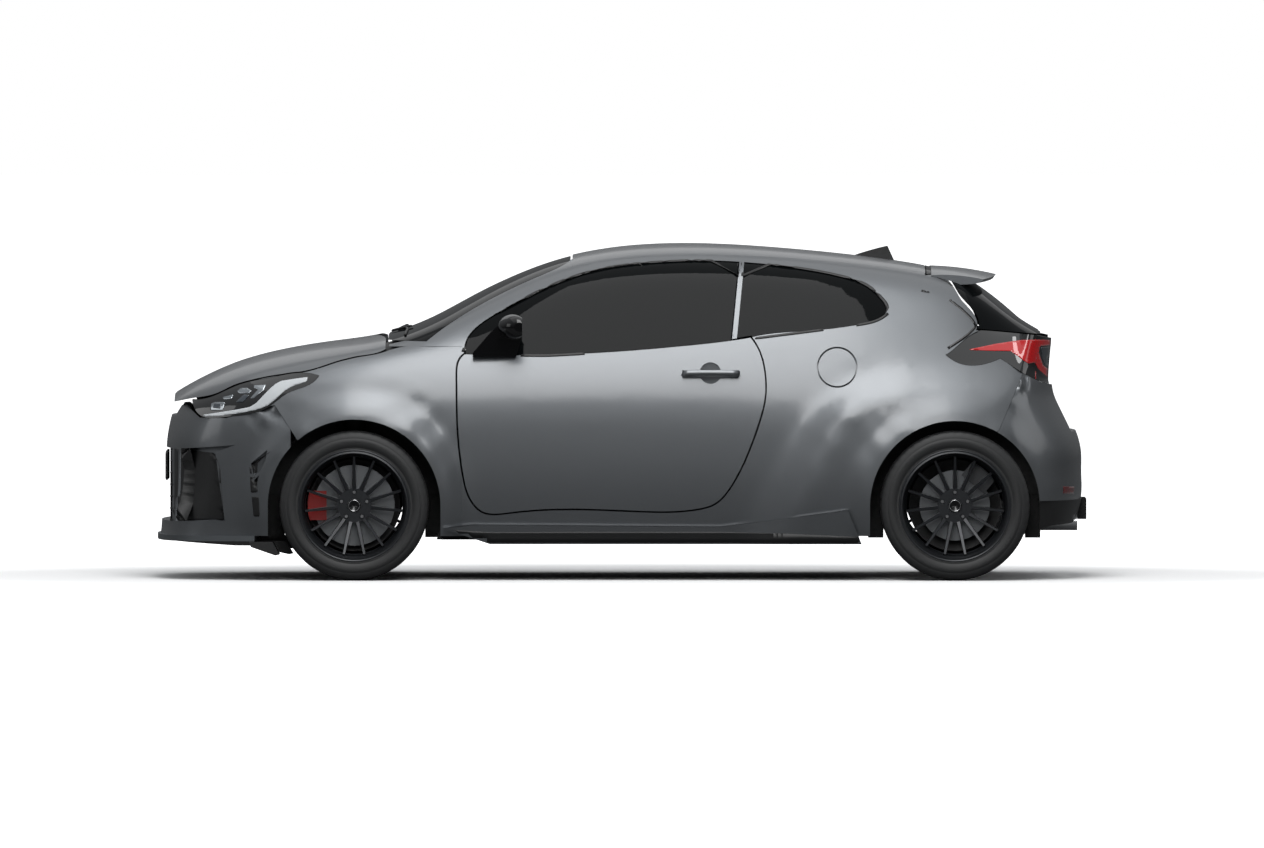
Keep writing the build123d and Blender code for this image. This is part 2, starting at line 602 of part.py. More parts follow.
def make_side_frame():
    layers = []
    for top, foot in ((0.0, jamb_step + weld), (jamb_step, frame_depth)):
        wall = skin_slab(station(0.04), station(1.75), 0.0, 0.88, top, foot, rows=40, columns=22)
        outline = door_outline if top == 0 else shifted(door_outline, -jamb_overlap)
        opening = side_block(outline, 200, wide)
        wall = wall - opening
        if top > 0:
            wall = wall - shifted_to(opening, 0, 0, 2 * jamb_overlap)
        wall = wall - window_part(True, 0.0) - window_part(False, 0.0)
        wall = wall - side_block(shifted(screen_outline, fit_gap), 0, wide)
        wall = wall - top_block(roof_outline(2 * fit_gap), 1100, 1600)
        wall = wall - side_block(shifted(glass_outline, 1.5 * lid_gap), 0, wide)
        wall = wall - side_block(shifted(tail_lamp_outline, 1.0), 0, wide)
        wall = wall - side_block(shifted(tail_region, 1.0), 0, wide)
        wall = wall - arch_block(rear_axle_y, arch_radius_rear, 300)
        ahead = below(flow((-1.2, 0.994), (0.3, 0.994)), -1.0, -0.4, 0.1795, 3, -0.5)
        wall = wall - side_block(ahead, 0, wide)
        wall = wall - box((0, wide), (station(1.175), tail_y + 300), (level(1.0), level(1.3)))
        wall = wall - box((0, cowl_half + running_gap), (station(-0.2), station(0.125)), (600, 1400))
        wall = wall - box((0, wide), (station(-0.2), station(0.056) + lid_gap), (600, 1400))
        layers.append(wall)
    frame = layers[0].fuse(layers[1])
    return max(frame.solids(), key=lambda solid: solid.volume)


flap_y, flap_z = station(0.804), level(0.89)
flap_radius, flap_thickness = 80.0, 6.0
flap_gap = 7.0
flap_hinge_y = flap_y - flap_radius + 4.0
flap_pin_radius, flap_pin_depth, flap_pin_half = 2.0, 4.0, 48.0


def flap_wall(top, foot):
    return skin_slab(station(0.7), station(1.1), 0.1, 0.7, top, foot, rows=12, columns=12)


def flap_pin(gap, overrun):
    """The flap's hinge pin, which lies along the skin behind the flap's front edge."""
    wall = flap_wall(0, flap_thickness)
    ends = []
    for dz in (-flap_pin_half, flap_pin_half):
        touch = wall & box((500, wide), (flap_hinge_y - 0.5, flap_hinge_y + 0.5), (flap_z + dz - 0.5, flap_z + dz + 0.5))
        ends.append(Vector(touch.bounding_box().max.X - flap_pin_depth, flap_hinge_y, flap_z + dz))
    reach = (ends[1] - ends[0]).normalized() * overrun
    return rod(ends[0] - reach, ends[1] + reach, flap_pin_radius + gap)


def flap_pocket():
    """The round pocket in the left rear fender, with the sockets of the hinge pin."""
    hole = disc((500, flap_y, flap_z), (1, 0, 0), flap_radius + flap_gap, 600)
    return [flap_wall(-12.0, jamb_step) & hole, flap_pin(running_gap, running_gap)]


def make_fuel_flap():
    lid = flap_wall(0, flap_thickness) & disc((500, flap_y, flap_z), (1, 0, 0), flap_radius, 600)
    return lid.fuse(flap_pin(0.0, 0.0))


def make_quarter_glass():
    wall = skin_slab(station(0.6), station(0.95), 0.35, 0.85, glass_sink, glass_sink + glass_thickness, rows=10, columns=10)
    wall = wall & window_part(False, 0.4)
    return wall - side_block(shifted(door_outline, 2.0), 200, wide)


def make_door_glass():
    wall = skin_slab(station(0.1), station(0.7), 0.35, 0.85, glass_sink, glass_sink + glass_thickness, rows=14, columns=10)
    pane = window_part(True, glass_gap)
    return wall & pane.fuse(shifted_to(pane, 0, 0, 2.0 - glass_gap - door_gap))


handle_y, handle_z = station(0.593), level(0.86)
handle_length, handle_height, handle_stand = 240.0, 26.0, 34.0
cup_radius, cup_depth = 46.0, 20.0


def make_handle(skin):
    """A pull handle: a bar that stands out from the door at both ends, over the hand's cup."""
    y0, y1 = handle_y - handle_length / 2, handle_y + handle_length / 2
    bar = box((skin - 8, skin + handle_stand), (y0, y1), (handle_z - handle_height / 2, handle_z + handle_height / 2))
    bar = bar.fillet(handle_height * 0.4, bar.edges().filter_by(Axis.Z).sort_by(Axis.X)[-2:])
    return bar - box((skin - 20, skin + handle_stand - 16), (y0 + 30, y1 - 30), (handle_z - 40, handle_z + 40))


def make_door():
    outer = skin_slab(station(0.15), station(0.7), 0.0, 0.7, 0, door_skin, rows=20, columns=16)
    outer = outer & side_block(shifted(door_outline, -door_gap), 200, wide)
    inner = skin_slab(station(0.15), station(0.7), 0.0, 0.7, door_skin - weld, door_depth, rows=14, columns=12, shaped=False)
    inner = inner & side_block(shifted(door_outline, -door_inset), 200, wide)
    skin = skin_x(handle_y, handle_z)
    cup = disc((skin - cup_depth, handle_y, handle_z), (1, 0, 0), cup_radius, cup_depth + 60)
    return (outer.fuse(inner) - cup).fuse(make_handle(skin))


def make_front_bumper():
    wall = nose_slab(0.03, 0.75, 0, bumper_depth) & side_block(nose_region, -wide, wide)
    wall = wall - front_block(grille_opening, -2300, station(-0.8))
    wall = wall - front_block(slot_outline, -2300, station(-0.8))
    for s in (1, -1):
        scoop = side_block(intake_outline, intake_from, wide)
        slots = [side_block(cell, 700, wide) for cell in curtain_outline]
        scoop = scoop.fuse(*slots) & nose_slab(0.05, 0.55, -20, intake_depth, rows=8, columns=18)
        wall = wall - (scoop if s > 0 else mirrored(scoop))
    wall = wall - side_block(shifted(lamp_outline, 2 * fit_gap), -wide, wide)
    for s in (1, -1):
        arch = arch_block(front_axle_y, arch_radius_front)
        wall = wall - (arch if s > 0 else mirrored(arch))
    return wall


def make_rear_bumper():
    wall = tail_slab(0.03, 0.86, 0, bumper_depth) & side_block(tail_region, -wide, wide)
    wall = wall & box((-wide, wide), (station(0.9), tail_y + 300), (valance_top + fit_gap, 1500))
    wall = wall - front_block(shifted(hatch_outline, lid_gap), station(1.3), wide * 3)
    for s in (1, -1):
        lamp = side_block(shifted(tail_lamp_outline, 2 * fit_gap), 0, wide)
        arch = arch_block(rear_axle_y, arch_radius_rear).fuse(lamp)
        wall = wall - (arch if s > 0 else mirrored(arch))
    return wall


def make_tail_lamp():
    wall = tail_slab(0.75, 1.17, 0, lamp_depth) & side_block(tail_lamp_outline, hatch_half_top + lid_gap, wide)
    return wall - side_block(shifted(glass_outline, lid_gap), 0, wide)


def make_headlamp():
    wall = skin_slab(station(-0.9), station(-0.1), 0.2, 0.95, 1.0, 60, rows=16, columns=14)
    return wall & side_block(lamp_outline, 200, wide)


def make_tailgate():
    ring = skin_slab(station(0.9), station(1.7), 0.4, 1.0, glass_thickness + running_gap, tailgate_depth,
                     rows=14, columns=12, whole=True)
    ring = ring & side_block(glass_outline, -wide, wide)
    pane = top_block(polygon((-430.0, station(1.06)), (430.0, station(1.06)), (500.0, station(1.55)),
                             (-500.0, station(1.55))), 800, 1500)
    ring = ring - pane
    lower = tail_slab(0.5, 1.12, 0, tailgate_depth).fuse(tail_slab(0.98, 1.12, tailgate_depth - weld, shelf_depth))
    lower = lower & front_block(hatch_outline, station(1.3), wide * 3)
    bridge = skin_slab(station(1.2), station(1.72), 0.6, 1.0, glass_thickness + running_gap, tailgate_depth,
                       rows=8, columns=10, whole=True)
    bridge = bridge & box((-hatch_half_top + 10, hatch_half_top - 10), (station(1.5), station(1.8)),
                          (level(shelf_level) - 20, level(1.13)))
    return ring.fuse(bridge, lower)


def make_rear_glass():
    wall = skin_slab(station(0.9), station(1.7), 0.4, 1.0, 0, glass_thickness, rows=14, columns=12, whole=True)
    return wall & side_block(glass_outline, -wide, wide)


# ------------------------------------------------------------------ wheels and brakes
tyre_profile = [
    (-0.4, rim_radius + running_gap), (0.4, rim_radius + running_gap), (0.47, rim_radius + 22.0),
    (0.5, rim_radius + 44.0), (0.468, tyre_radius - 14.0), (0.42, tyre_radius), (-0.42, tyre_radius),
    (-0.468, tyre_radius - 14.0), (-0.5, rim_radius + 44.0), (-0.47, rim_radius + 22.0),
]
hub_face = wheel_offset
disc_back = -23.0
hat_back = -30.0
hub_radius = 74.0
barrel_radius = 213.0
barrel_wall = 7.0
spoke_root, spoke_tip = 66.0, barrel_radius - 3.0


def make_tyre():
    return spun([(x * tyre_width, r) for x, r in tyre_profile])


def make_wheel():
    """A cast wheel: barrel with two flanges, a centre pad with lug seats and a fan of thin straight spokes."""
    half = rim_width / 2
    barrel = spun([
        (-half, rim_radius + 8), (-half + 5, rim_radius), (-half + 22, rim_radius), (-half + 40, barrel_radius),
        (half - 34, barrel_radius), (half - 20, rim_radius), (half - 5, rim_radius), (half, rim_radius + 8),
        (half + 2, rim_radius - 4), (half - 26, barrel_radius - barrel_wall),
        (-half + 36, barrel_radius - barrel_wall), (-half + 8, rim_radius - 8),
    ])
    pad = disc((hub_face, 0, 0), (1, 0, 0), hub_radius, 18.0)
    pieces = []
    for i in range(spoke_count):
        root, tip = (hub_face + 2, hub_face + 17, 9.5), (half - 26, half - 6, 6.0)
        sections = []
        for r, (back, front, wide_half) in ((spoke_root, root), (spoke_tip, tip)):
            sections.append(Wire.make_polygon(
                [Vector(back, -wide_half, r), Vector(front, -wide_half * 0.7, r), Vector(front, wide_half * 0.7, r),
                 Vector(back, wide_half, r)], close=True))
        spoke = Solid.make_loft(sections, ruled=True)
        pieces.append(spoke.rotate(Axis.X, 360.0 * i / spoke_count))
    wheel = barrel.fuse(pad, *pieces)
    for i in range(lug_count):
        turn = 2 * math.pi * i / lug_count
        seat = disc((hub_face + 9, lug_circle * math.sin(turn), lug_circle * math.cos(turn)), (1, 0, 0), 11.0, 30.0)
        wheel = wheel - seat
    bore = disc((hub_face - 10, 0, 0), (1, 0, 0), 30.0, 60.0)
    return wheel - bore


def make_brake_disc(radius):
    """The brake disc with its hat and the hub's spigot, as one turned piece."""
    return spun([
        (hat_back, 0), (hat_back, 34), (disc_back, 34), (disc_back, radius), (disc_back + disc_thickness, radius),
        (disc_back + disc_thickness, 72), (hub_face - running_gap, 72), (hub_face - running_gap, 29.5),
        (hub_face + 12, 29.5), (hub_face + 12, 0),
    ])


def make_caliper(radius, turn):
    """A caliper that straddles the disc, turned about the axle."""
    block = box((disc_back - 24, disc_back + disc_thickness + 22), (-198.0, -118.0), (-62.0, 62.0))
    block = block & spun([(-80, 100), (60, 100), (60, 199), (-80, 199)])
    slot = box((disc_back - 4, disc_back + disc_thickness + 4), (-radius - 4, -90.0), (-90.0, 90.0))
    return (block - slot).rotate(Axis.X, turn)


def caliper_ear(turn):
    """The bracket that a caliper is bolted to, turned about the axle with it."""
    face = disc_back - 24 - running_gap
    return box((face - 12, face), (-150.0, -30.0), (-26.0, 26.0)).rotate(Axis.X, turn)


def make_knuckle(radius, turn, length):
    """The upright behind a front wheel: bearing boss, ball joint ears and the caliper's bracket."""
    boss = disc((hat_back - running_gap - length, 0, 0), (1, 0, 0), 52.0, length)
    post = box((-kingpin_offset - 18, -kingpin_offset + 22), (-34.0, 34.0), (-112.0, 108.0))
    arm = box((-kingpin_offset - 10, -kingpin_offset + 10), (30.0, 128.0), (-44.0, -20.0))
    return boss.fuse(post, arm, caliper_ear(turn))


# ------------------------------------------------------------------ the rest of the car
engine_bay_front = station(-0.8)
bulkhead_y = station(0.145)
cabin_half = 728.0
dash_half = 700.0
cargo_floor = level(0.32)
cargo_rear = station(1.72)
liner_wall = 4.0
spring_radius = 48.0
subframe_top = level(0.0) + 36
strut_x = front_track / 2 - kingpin_offset - 122
liner_inner = 452.0
rear_liner_inner = 548.0


def liner(axle_y, radius, inner, outer):
    """The arch liner: a half barrel over a wheel with its inner wall."""
    shell = disc((inner, axle_y, tyre_radius), (1, 0, 0), radius + 4 + liner_wall, outer - inner)
    hollow = disc((inner + liner_wall, axle_y, tyre_radius), (1, 0, 0), radius + 4, outer)
    shell = shell - hollow
    return shell & box((0, wide), (axle_y - 600, axle_y + 600), (tyre_radius + 40, 1500))


def make_floor():
    y0, y1 = bulkhead_y, station(0.84)
    pan = box((-half_width + 20, half_width - 20), (y0, y1), (floor_height - floor_thickness, floor_height))
    for flank in (1, -1):
        side_wall = skin_slab(station(0.04), station(1.0), 0.0, 0.25, -80, frame_depth + fit_gap, rows=10, columns=6)
        side_wall = side_wall.fuse(shifted_to(side_wall, 0, 0, -30))
        pan = pan - (side_wall if flank > 0 else mirrored(side_wall))
    pan = max(pan.solids(), key=lambda solid: solid.volume)
    tunnel = box((-120, 120), (y0 + 20, y1), (floor_height, floor_height + 90))
    kick = box((-rear_liner_inner + fit_gap, rear_liner_inner - fit_gap), (y1 - 20, y1), (floor_height, cargo_floor))
    load = box((-rear_liner_inner + fit_gap, rear_liner_inner - fit_gap), (y1 - 20, cargo_rear),
               (cargo_floor, cargo_floor + floor_thickness))
    back = box((-rear_liner_inner + fit_gap, rear_liner_inner - fit_gap), (cargo_rear - 20, cargo_rear),
               (cargo_floor, level(0.52)))
    return pan.fuse(tunnel, kick, load, back)


def make_front_structure():
    wall = box((-cabin_half, cabin_half), (bulkhead_y - 20, bulkhead_y - running_gap), (floor_height - 24, level(0.93)))
    pieces = []
    for s in (1, -1):
        barrel = disc((s * (liner_inner - 5), front_axle_y, tyre_radius), (s, 0, 0), arch_radius_front + 12, 400.0)
        wall = wall - barrel
        x0, x1 = sorted((s * 380.0, s * (liner_inner - fit_gap)))
        pieces.append(box((x0, x1), (engine_bay_front, bulkhead_y - 10), (level(0.27), level(0.38))))
        x0, x1 = sorted((s * (liner_inner - fit_gap), s * 660.0))
        tower = box((x0, x1), (front_axle_y - 70, front_axle_y + 70), (arch_radius_front + tyre_radius + 20, level(0.8)))
        pieces.append(tower)
        link = box(sorted((s * 380.0, s * (liner_inner - fit_gap))), (front_axle_y - 70, front_axle_y + 70), (level(0.3), level(0.8)))
        pieces.append(link)
        pieces.append(box(sorted((s * 380.0, s * (liner_inner - fit_gap))), (front_axle_y, bulkhead_y - 10), (level(0.7), level(0.8))))
    radiator = box((-400, 400), (engine_bay_front, engine_bay_front + 40), (level(0.12), level(0.62)))
    return wall.fuse(radiator, *pieces)


def make_wheelhouses(axle_y, radius, inner, outer, strut_x=None):
    house = liner(axle_y, radius, inner, outer)
    if strut_x is not None:
        house = house - disc((strut_x, axle_y, tyre_radius), (0, 0, 1), spring_radius + lid_gap, 600.0)
    return house, mirrored(house)


def make_engine():
    return box((-300, 300), (station(-0.62), station(-0.02)), (subframe_top + running_gap, level(0.72)))


def make_front_suspension():
    frame = box((-430, 430), (front_axle_y - 150, front_axle_y + 230), (level(0.0), subframe_top))
    frame = frame.fillet(12, frame.edges().filter_by(Axis.Z))
    pieces = []
    king_x = front_track / 2 - kingpin_offset
    ball_top = tyre_radius - 112.0 - running_gap
    for s in (1, -1):
        pieces.append(box(sorted((s * 385.0, s * 430.0)), (front_axle_y - 40, front_axle_y + 40),
                          (subframe_top - 5, level(0.27) - running_gap)))
        pieces.append(disc((s * king_x, front_axle_y, ball_top - 26), (0, 0, 1), 20.0, 26.0))
        for dy in (-110, 170):
            pieces.append(rod((s * 320, front_axle_y + dy, level(0.0) + 20), (s * king_x, front_axle_y, ball_top - 13), 13.0))
    return frame.fuse(*pieces)


def make_strut():
    """Spring and damper between the tower and the upright."""
    top = arch_radius_front + tyre_radius + 20 - running_gap
    lower = disc((strut_x, front_axle_y, tyre_radius + 60), (0, 0, 1), 24.0, 200.0)
    spring = disc((strut_x, front_axle_y, tyre_radius + 200), (0, 0, 1), spring_radius, top - tyre_radius - 200)
    return lower.fuse(spring)


def make_rear_suspension():
    y = rear_axle_y
    frame = box((-360, 360), (y - 130, y + 130), (level(0.02), level(0.02) + 50))
    diff = box((-110, 110), (y - 110, y + 110), (level(0.02) + 40, level(0.02) + 200))
    pieces = [diff]
    centre = rear_track / 2
    for s in (1, -1):
        x_in, x_out = centre + hat_back - running_gap - 60, centre + hat_back - running_gap
        hub = box(sorted((s * x_in, s * x_out)), (y - 50, y + 50), (tyre_radius - 90, tyre_radius + 90))
        pieces.append(hub)
        pieces.append(rod((s * 340, y - 90, level(0.06)), (s * (x_in + 20), y - 20, tyre_radius - 70), 16.0))
        pieces.append(rod((s * 340, y + 90, level(0.06)), (s * (x_in + 20), y + 20, tyre_radius - 70), 16.0))
        pieces.append(rod((s * 100, y, tyre_radius), (s * (x_in + 20), y, tyre_radius), 15.0))
        pieces.append(rod((s * (x_in - 60), y + 60, tyre_radius - 60), (s * (x_in - 60), y + 40, tyre_radius + 220), 34.0))
        pieces.append(box(sorted((s * (x_in - 90), s * (x_in + 10))), (y + 10, y + 50), (tyre_radius - 90, tyre_radius - 40)))
    for s in (1, -1):
        pieces.append(box(sorted((s * 250.0, s * 320.0)), (y - 40, y + 40), (level(0.02) + 40, cargo_floor - running_gap)))
        ear = caliper_ear(rear_caliper_turn)
        ear = shifted_to(ear, rear_track / 2, rear_axle_y, tyre_radius)
        pieces.append(ear if s > 0 else mirrored(ear))
    return frame.fuse(*pieces)


steer_x, steer_tilt = 365.0, 24.0
steer_y, steer_z = station(0.335), level(0.86)
column_radius = 20.0


def at_steering(shape):
    """Turns a shape made round +Z to face the driver and puts it where the steering wheel is."""
    return shape.rotate(Axis.X, steer_tilt - 90.0).moved(Location((steer_x, steer_y, steer_z)))


def make_dashboard():
    front = bulkhead_y + running_gap
    outline = polygon((front, level(0.92)), *side((0.22, 0.965), (0.275, 0.93), (0.285, 0.78), (0.25, 0.62)), (front, level(0.55)))
    column = Solid.make_cylinder(column_radius + running_gap, 230.0, Plane((0, 0, -240)))
    return side_block(outline, -dash_half, dash_half) - at_steering(column)


def make_steering_wheel():
    rim = Solid.make_torus(176.0, 15.0)
    hub = Solid.make_cylinder(52.0, 40.0, Plane((0, 0, -28)))
    bars = [box((-170, 170), (-16, 16), (-10, 6)), box((-16, 16), (0, 170), (-10, 6))]
    column = Solid.make_cylinder(column_radius, 200.0, Plane((0, 0, -220)))
    return at_steering(rim.fuse(hub, column, *bars))


def seat_block(points, x_from, x_to, radius):
    block = side_block(polygon(*points), x_from, x_to)
    return block.fillet(radius, block.edges())


def make_front_seats():
    seats = []
    for s in (1, -1):
        x0, x1 = s * 365 - seat_width / 2, s * 365 + seat_width / 2
        y = station(0.44)
        cushion = seat_block([(y - 250, 330), (y + 270, 300), (y + 270, 410), (y - 250, 460)], x0, x1, 36)
        back = seat_block([(y + 200, 360), (y + 330, 360), (y + 520, 1010), (y + 430, 1030)], x0, x1, 36)
        head = seat_block([(y + 440, 1020), (y + 530, 1000), (y + 570, 1180), (y + 490, 1200)], s * 365 - 130, s * 365 + 130, 26)
        foot = box((s * 365 - 170, s * 365 + 170), (y - 180, y + 240), (floor_height + running_gap, 340))
        seats.append(cushion.fuse(back, head, foot))
    return seats


def make_rear_seat():
    y = station(0.776)
    cushion = seat_block([(y - 420, 350), (y + 60, 320), (y + 60, 440), (y - 420, 480)], -530, 530, 40)
    back = seat_block([(y + 40, 400), (y + 120, 400), (y + 270, 960), (y + 170, 980)], -530, 530, 36)
    bases = [box(sorted((s * 125.0, s * 525.0)), (y - 380, y + 40), (floor_height + running_gap, 370)) for s in (1, -1)]
    return cushion.fuse(back, *bases)


def make_spoiler():
    """The roof wing over the top of the rear glass."""
    y0, y1 = station(0.962), station(1.318)
    sections = []
    for share in (-1.0, -0.6, 0.0, 0.6, 1.0):
        x = share * spoiler_half
        back = y1 - 60 * abs(share) ** 3
        middle = (y0 + back) / 2
        z0, z1 = skin_z(abs(x), y0) + 4, level(1.69) - 17 * share * share
        seat = skin_z(abs(x), y0 + 8) - 8
        belly = max(skin_z(abs(x), middle) - 4, (z0 + z1) / 2 - 30)
        upper = [(y0, z0), (middle, (z0 + z1) / 2 + 8), (back, z1)]
        lower = [(back - 10, z1 - 14), (middle, belly), (y0 + 8, seat)]
        sections.append(Wire([
            Edge.make_spline([Vector(x, *p) for p in upper]),
            Edge.make_line(Vector(x, *upper[-1]), Vector(x, *lower[0])),
            Edge.make_spline([Vector(x, *p) for p in lower]),
            Edge.make_line(Vector(x, *lower[-1]), Vector(x, *upper[0])),
        ]))
    wing = Solid.make_loft(sections)
    return wing - skin_slab(station(0.9), station(1.7), 0.3, 1.0, -2 * running_gap, 60, rows=14, columns=14, whole=True)


def make_antenna():
    y0, y1 = station(0.836), station(0.9)
    base = skin_z(0, (y0 + y1) / 2)
    foot = [(y, skin_z(0, y) + 2 * running_gap) for y in (y1 + 4, (y0 + y1) / 2, y0)]
    outline = [
        [foot[-1], (y0 + 40, base + 24), (y1 - 24, base + 50)],
        [(y1 - 24, base + 50), foot[0]],
        foot,
    ]
    return side_block(outline, -22, 22)


mirror_y, mirror_z = station(0.262), level(1.19)


def make_mirror():
    """A door mirror: a rounded shell on a foot that stands on the door's shoulder."""
    y, z = mirror_y, mirror_z
    sections = []
    for x, y_half, z_half, back in ((866, 30, 26, -6), (886, 54, 45, 0), (930, 60, 54, 6), (975, 54, 50, 16),
                                    (1010, 42, 38, 26), (1024, 22, 20, 34)):
        plane = Plane(Vector(x, y + back, z), x_dir=(0, 1, 0), z_dir=(1, 0, 0))
        sections.append(Wire(Edge.make_ellipse(y_half, z_half, plane)))
    shell = Solid.make_loft(sections)
    shell = shell - box((800, 1100), (y + 46, y + 200), (z - 200, z + 200))
    foot = level(0.945)
    seat = max(skin_x(y + step, foot + rise) for step in (-170, -60, 40) for rise in (0, 12)) + running_gap
    outline = polygon((y - 165, foot), (y + 20, foot), (y + 46, z - 40), (y + 20, z), (y - 50, z + 10), (y - 90, z - 25),
                      (y - 165, foot + 16))
    arm = side_block(outline, seat, seat + 34)
    neck = side_block(polygon((y - 60, z - 50), (y + 30, z - 60), (y + 40, z), (y - 50, z)), seat, 900)
    return shell.fuse(arm, neck)


def make_splitter():
    rows = nose_rows(0.05, 0.12, -14.0, 4, 30)[0][::-1]
    rear = station(-0.5)
    edge = [(p[0], p[1]) for p in rows if p[1] < rear]
    outline = [edge, [edge[-1], (edge[-1][0] - 6, rear)], [(edge[-1][0] - 6, rear), (0.0, rear)], [(0.0, rear), edge[0]]]
    half = top_block(outline, level(0.0), level(0.03) - running_gap)
    tray = side_block(polygon((station(-0.9), level(0)), (station(-0.5), level(0)), (station(-0.5), level(-0.02)),
                              (station(-0.6), level(-0.02))), 0, 800)
    half = half.fuse(tray & top_block(outline, -100, 400))
    for back, inboard, outboard in ((0.0, 545.0, 612.0), (56.0, 611.0, 850.0)):
        half = half.fuse(side_block(polygon(
            (station(-0.53), level(0)), (front_axle_y - back - 292, level(0)), (front_axle_y - back - 262, 110.0),
            (front_axle_y - back - 280, 106.0), (station(-0.52), 142.0)), inboard, outboard))
    return half.fuse(mirrored(half))


def skirt_rows(inset):
    """A grid on the sill, carried down to the skirt's lower edge."""
    grid = skin_rows(station(0.13), station(0.87), 0.0, 0.4, inset, 20, 10)
    foot = grid[:, :1].copy()
    foot[:, :, 2] = level(0) - skirt_lip
    return np.concatenate([foot, grid], axis=1)


def make_skirt():
    """A skirt over the sill, with a lip that wraps under it."""
    outline = polygon(*side((0.149, 0.067), (0.226, -0.012), (0.845, -0.012), (0.822, 0.16), (0.61, 0.075), (0.2, 0.085)))
    outer = skirt_rows(-skirt_stand)
    wall = slab_between(outer, skirt_rows(-skirt_seat)) & side_block(outline, 200, wide)
    lip = slab_between(skirt_rows(1 - skirt_stand), skirt_rows(skirt_stand))
    lip = lip & box((0, wide), (station(0.23), station(0.84)), (level(0) - skirt_lip + 1, level(sill_foot) - running_gap))
    return wall.fuse(lip)


def make_diffuser():
    """The black valance under the painted bumper, with three fins and two holes for the tailpipes."""
    wall = tail_slab(0.02, 0.25, 2.0, bumper_depth - 4, rows=8)
    wall = wall & side_block(polygon(*side((1.25, 0.045), (1.56, 0.05), (1.72, 0.08), (2.3, 0.11)),
                                     (station(2.3), valance_top), (station(1.25), valance_top)), -wide, wide)
    tip = rear_profile(0.2) * 1000
    fins = [box((x - 5, x + 5), (tip - 60, tip + 16), (level(0.1), valance_top)) for x in (-160.0, 0.0, 160.0)]
    wall = wall.fuse(*fins).cut(*tailpipe_holes())
    for s in (1, -1):
        arch = arch_block(rear_axle_y, arch_radius_rear)
        wall = wall - (arch if s > 0 else mirrored(arch))
    return wall


def make_exhaust():
    """A flat silencer across the car on two hangers, with an open pipe out of each end."""
    can = box((-420, 420), (cargo_rear - 240, cargo_rear - 40), (level(0.03), level(0.2)))
    can = can.fillet(40, can.edges().filter_by(Axis.X))
    end = tail_y - 49
    pieces, bores = [], []
    for s in (1, -1):
        pieces.append(disc((s * exhaust_x, cargo_rear - 60, exhaust_z), (0, 1, 0), exhaust_radius, end - cargo_rear + 60))
        pieces.append(box(sorted((s * 200.0, s * 230.0)), (cargo_rear - 160, cargo_rear - 130),
                          (level(0.2) - 5, cargo_floor - running_gap)))
        bores.append(disc((s * exhaust_x, cargo_rear, exhaust_z), (0, 1, 0), exhaust_radius - exhaust_wall, 400))
    return can.fuse(*pieces).cut(*bores)


def make_grille():
    """The mesh in the nose opening, as crossed bars that end at the opening's edge."""
    y = front_profile(0.3) * 1000 + 26
    bars = []
    for i in range(7):
        z = grille_foot + 4 + (grille_top - grille_foot - 8) * i / 6
        reach = np.interp(z, (grille_foot, grille_top), (grille_half_foot, grille_half_top)) - 2.2
        bars.append(box((-reach, reach), (y, y + 8), (z - 3, z + 3)))
    for i in range(13):
        x = -396 + 792 * i / 12
        bars.append(box((x - 3, x + 3), (y, y + 8), (grille_foot + 1, grille_top - 1)))
    return bars[0].fuse(*bars[1:])


def write(name, *shapes):
    solids = [solid for shape in shapes for solid in shape.solids()]
    solids = [solid for solid in solids if solid.volume > 50.0]
    export_step(Compound(children=solids) if len(solids) > 1 else solids[0], f"parts/{name}.step")


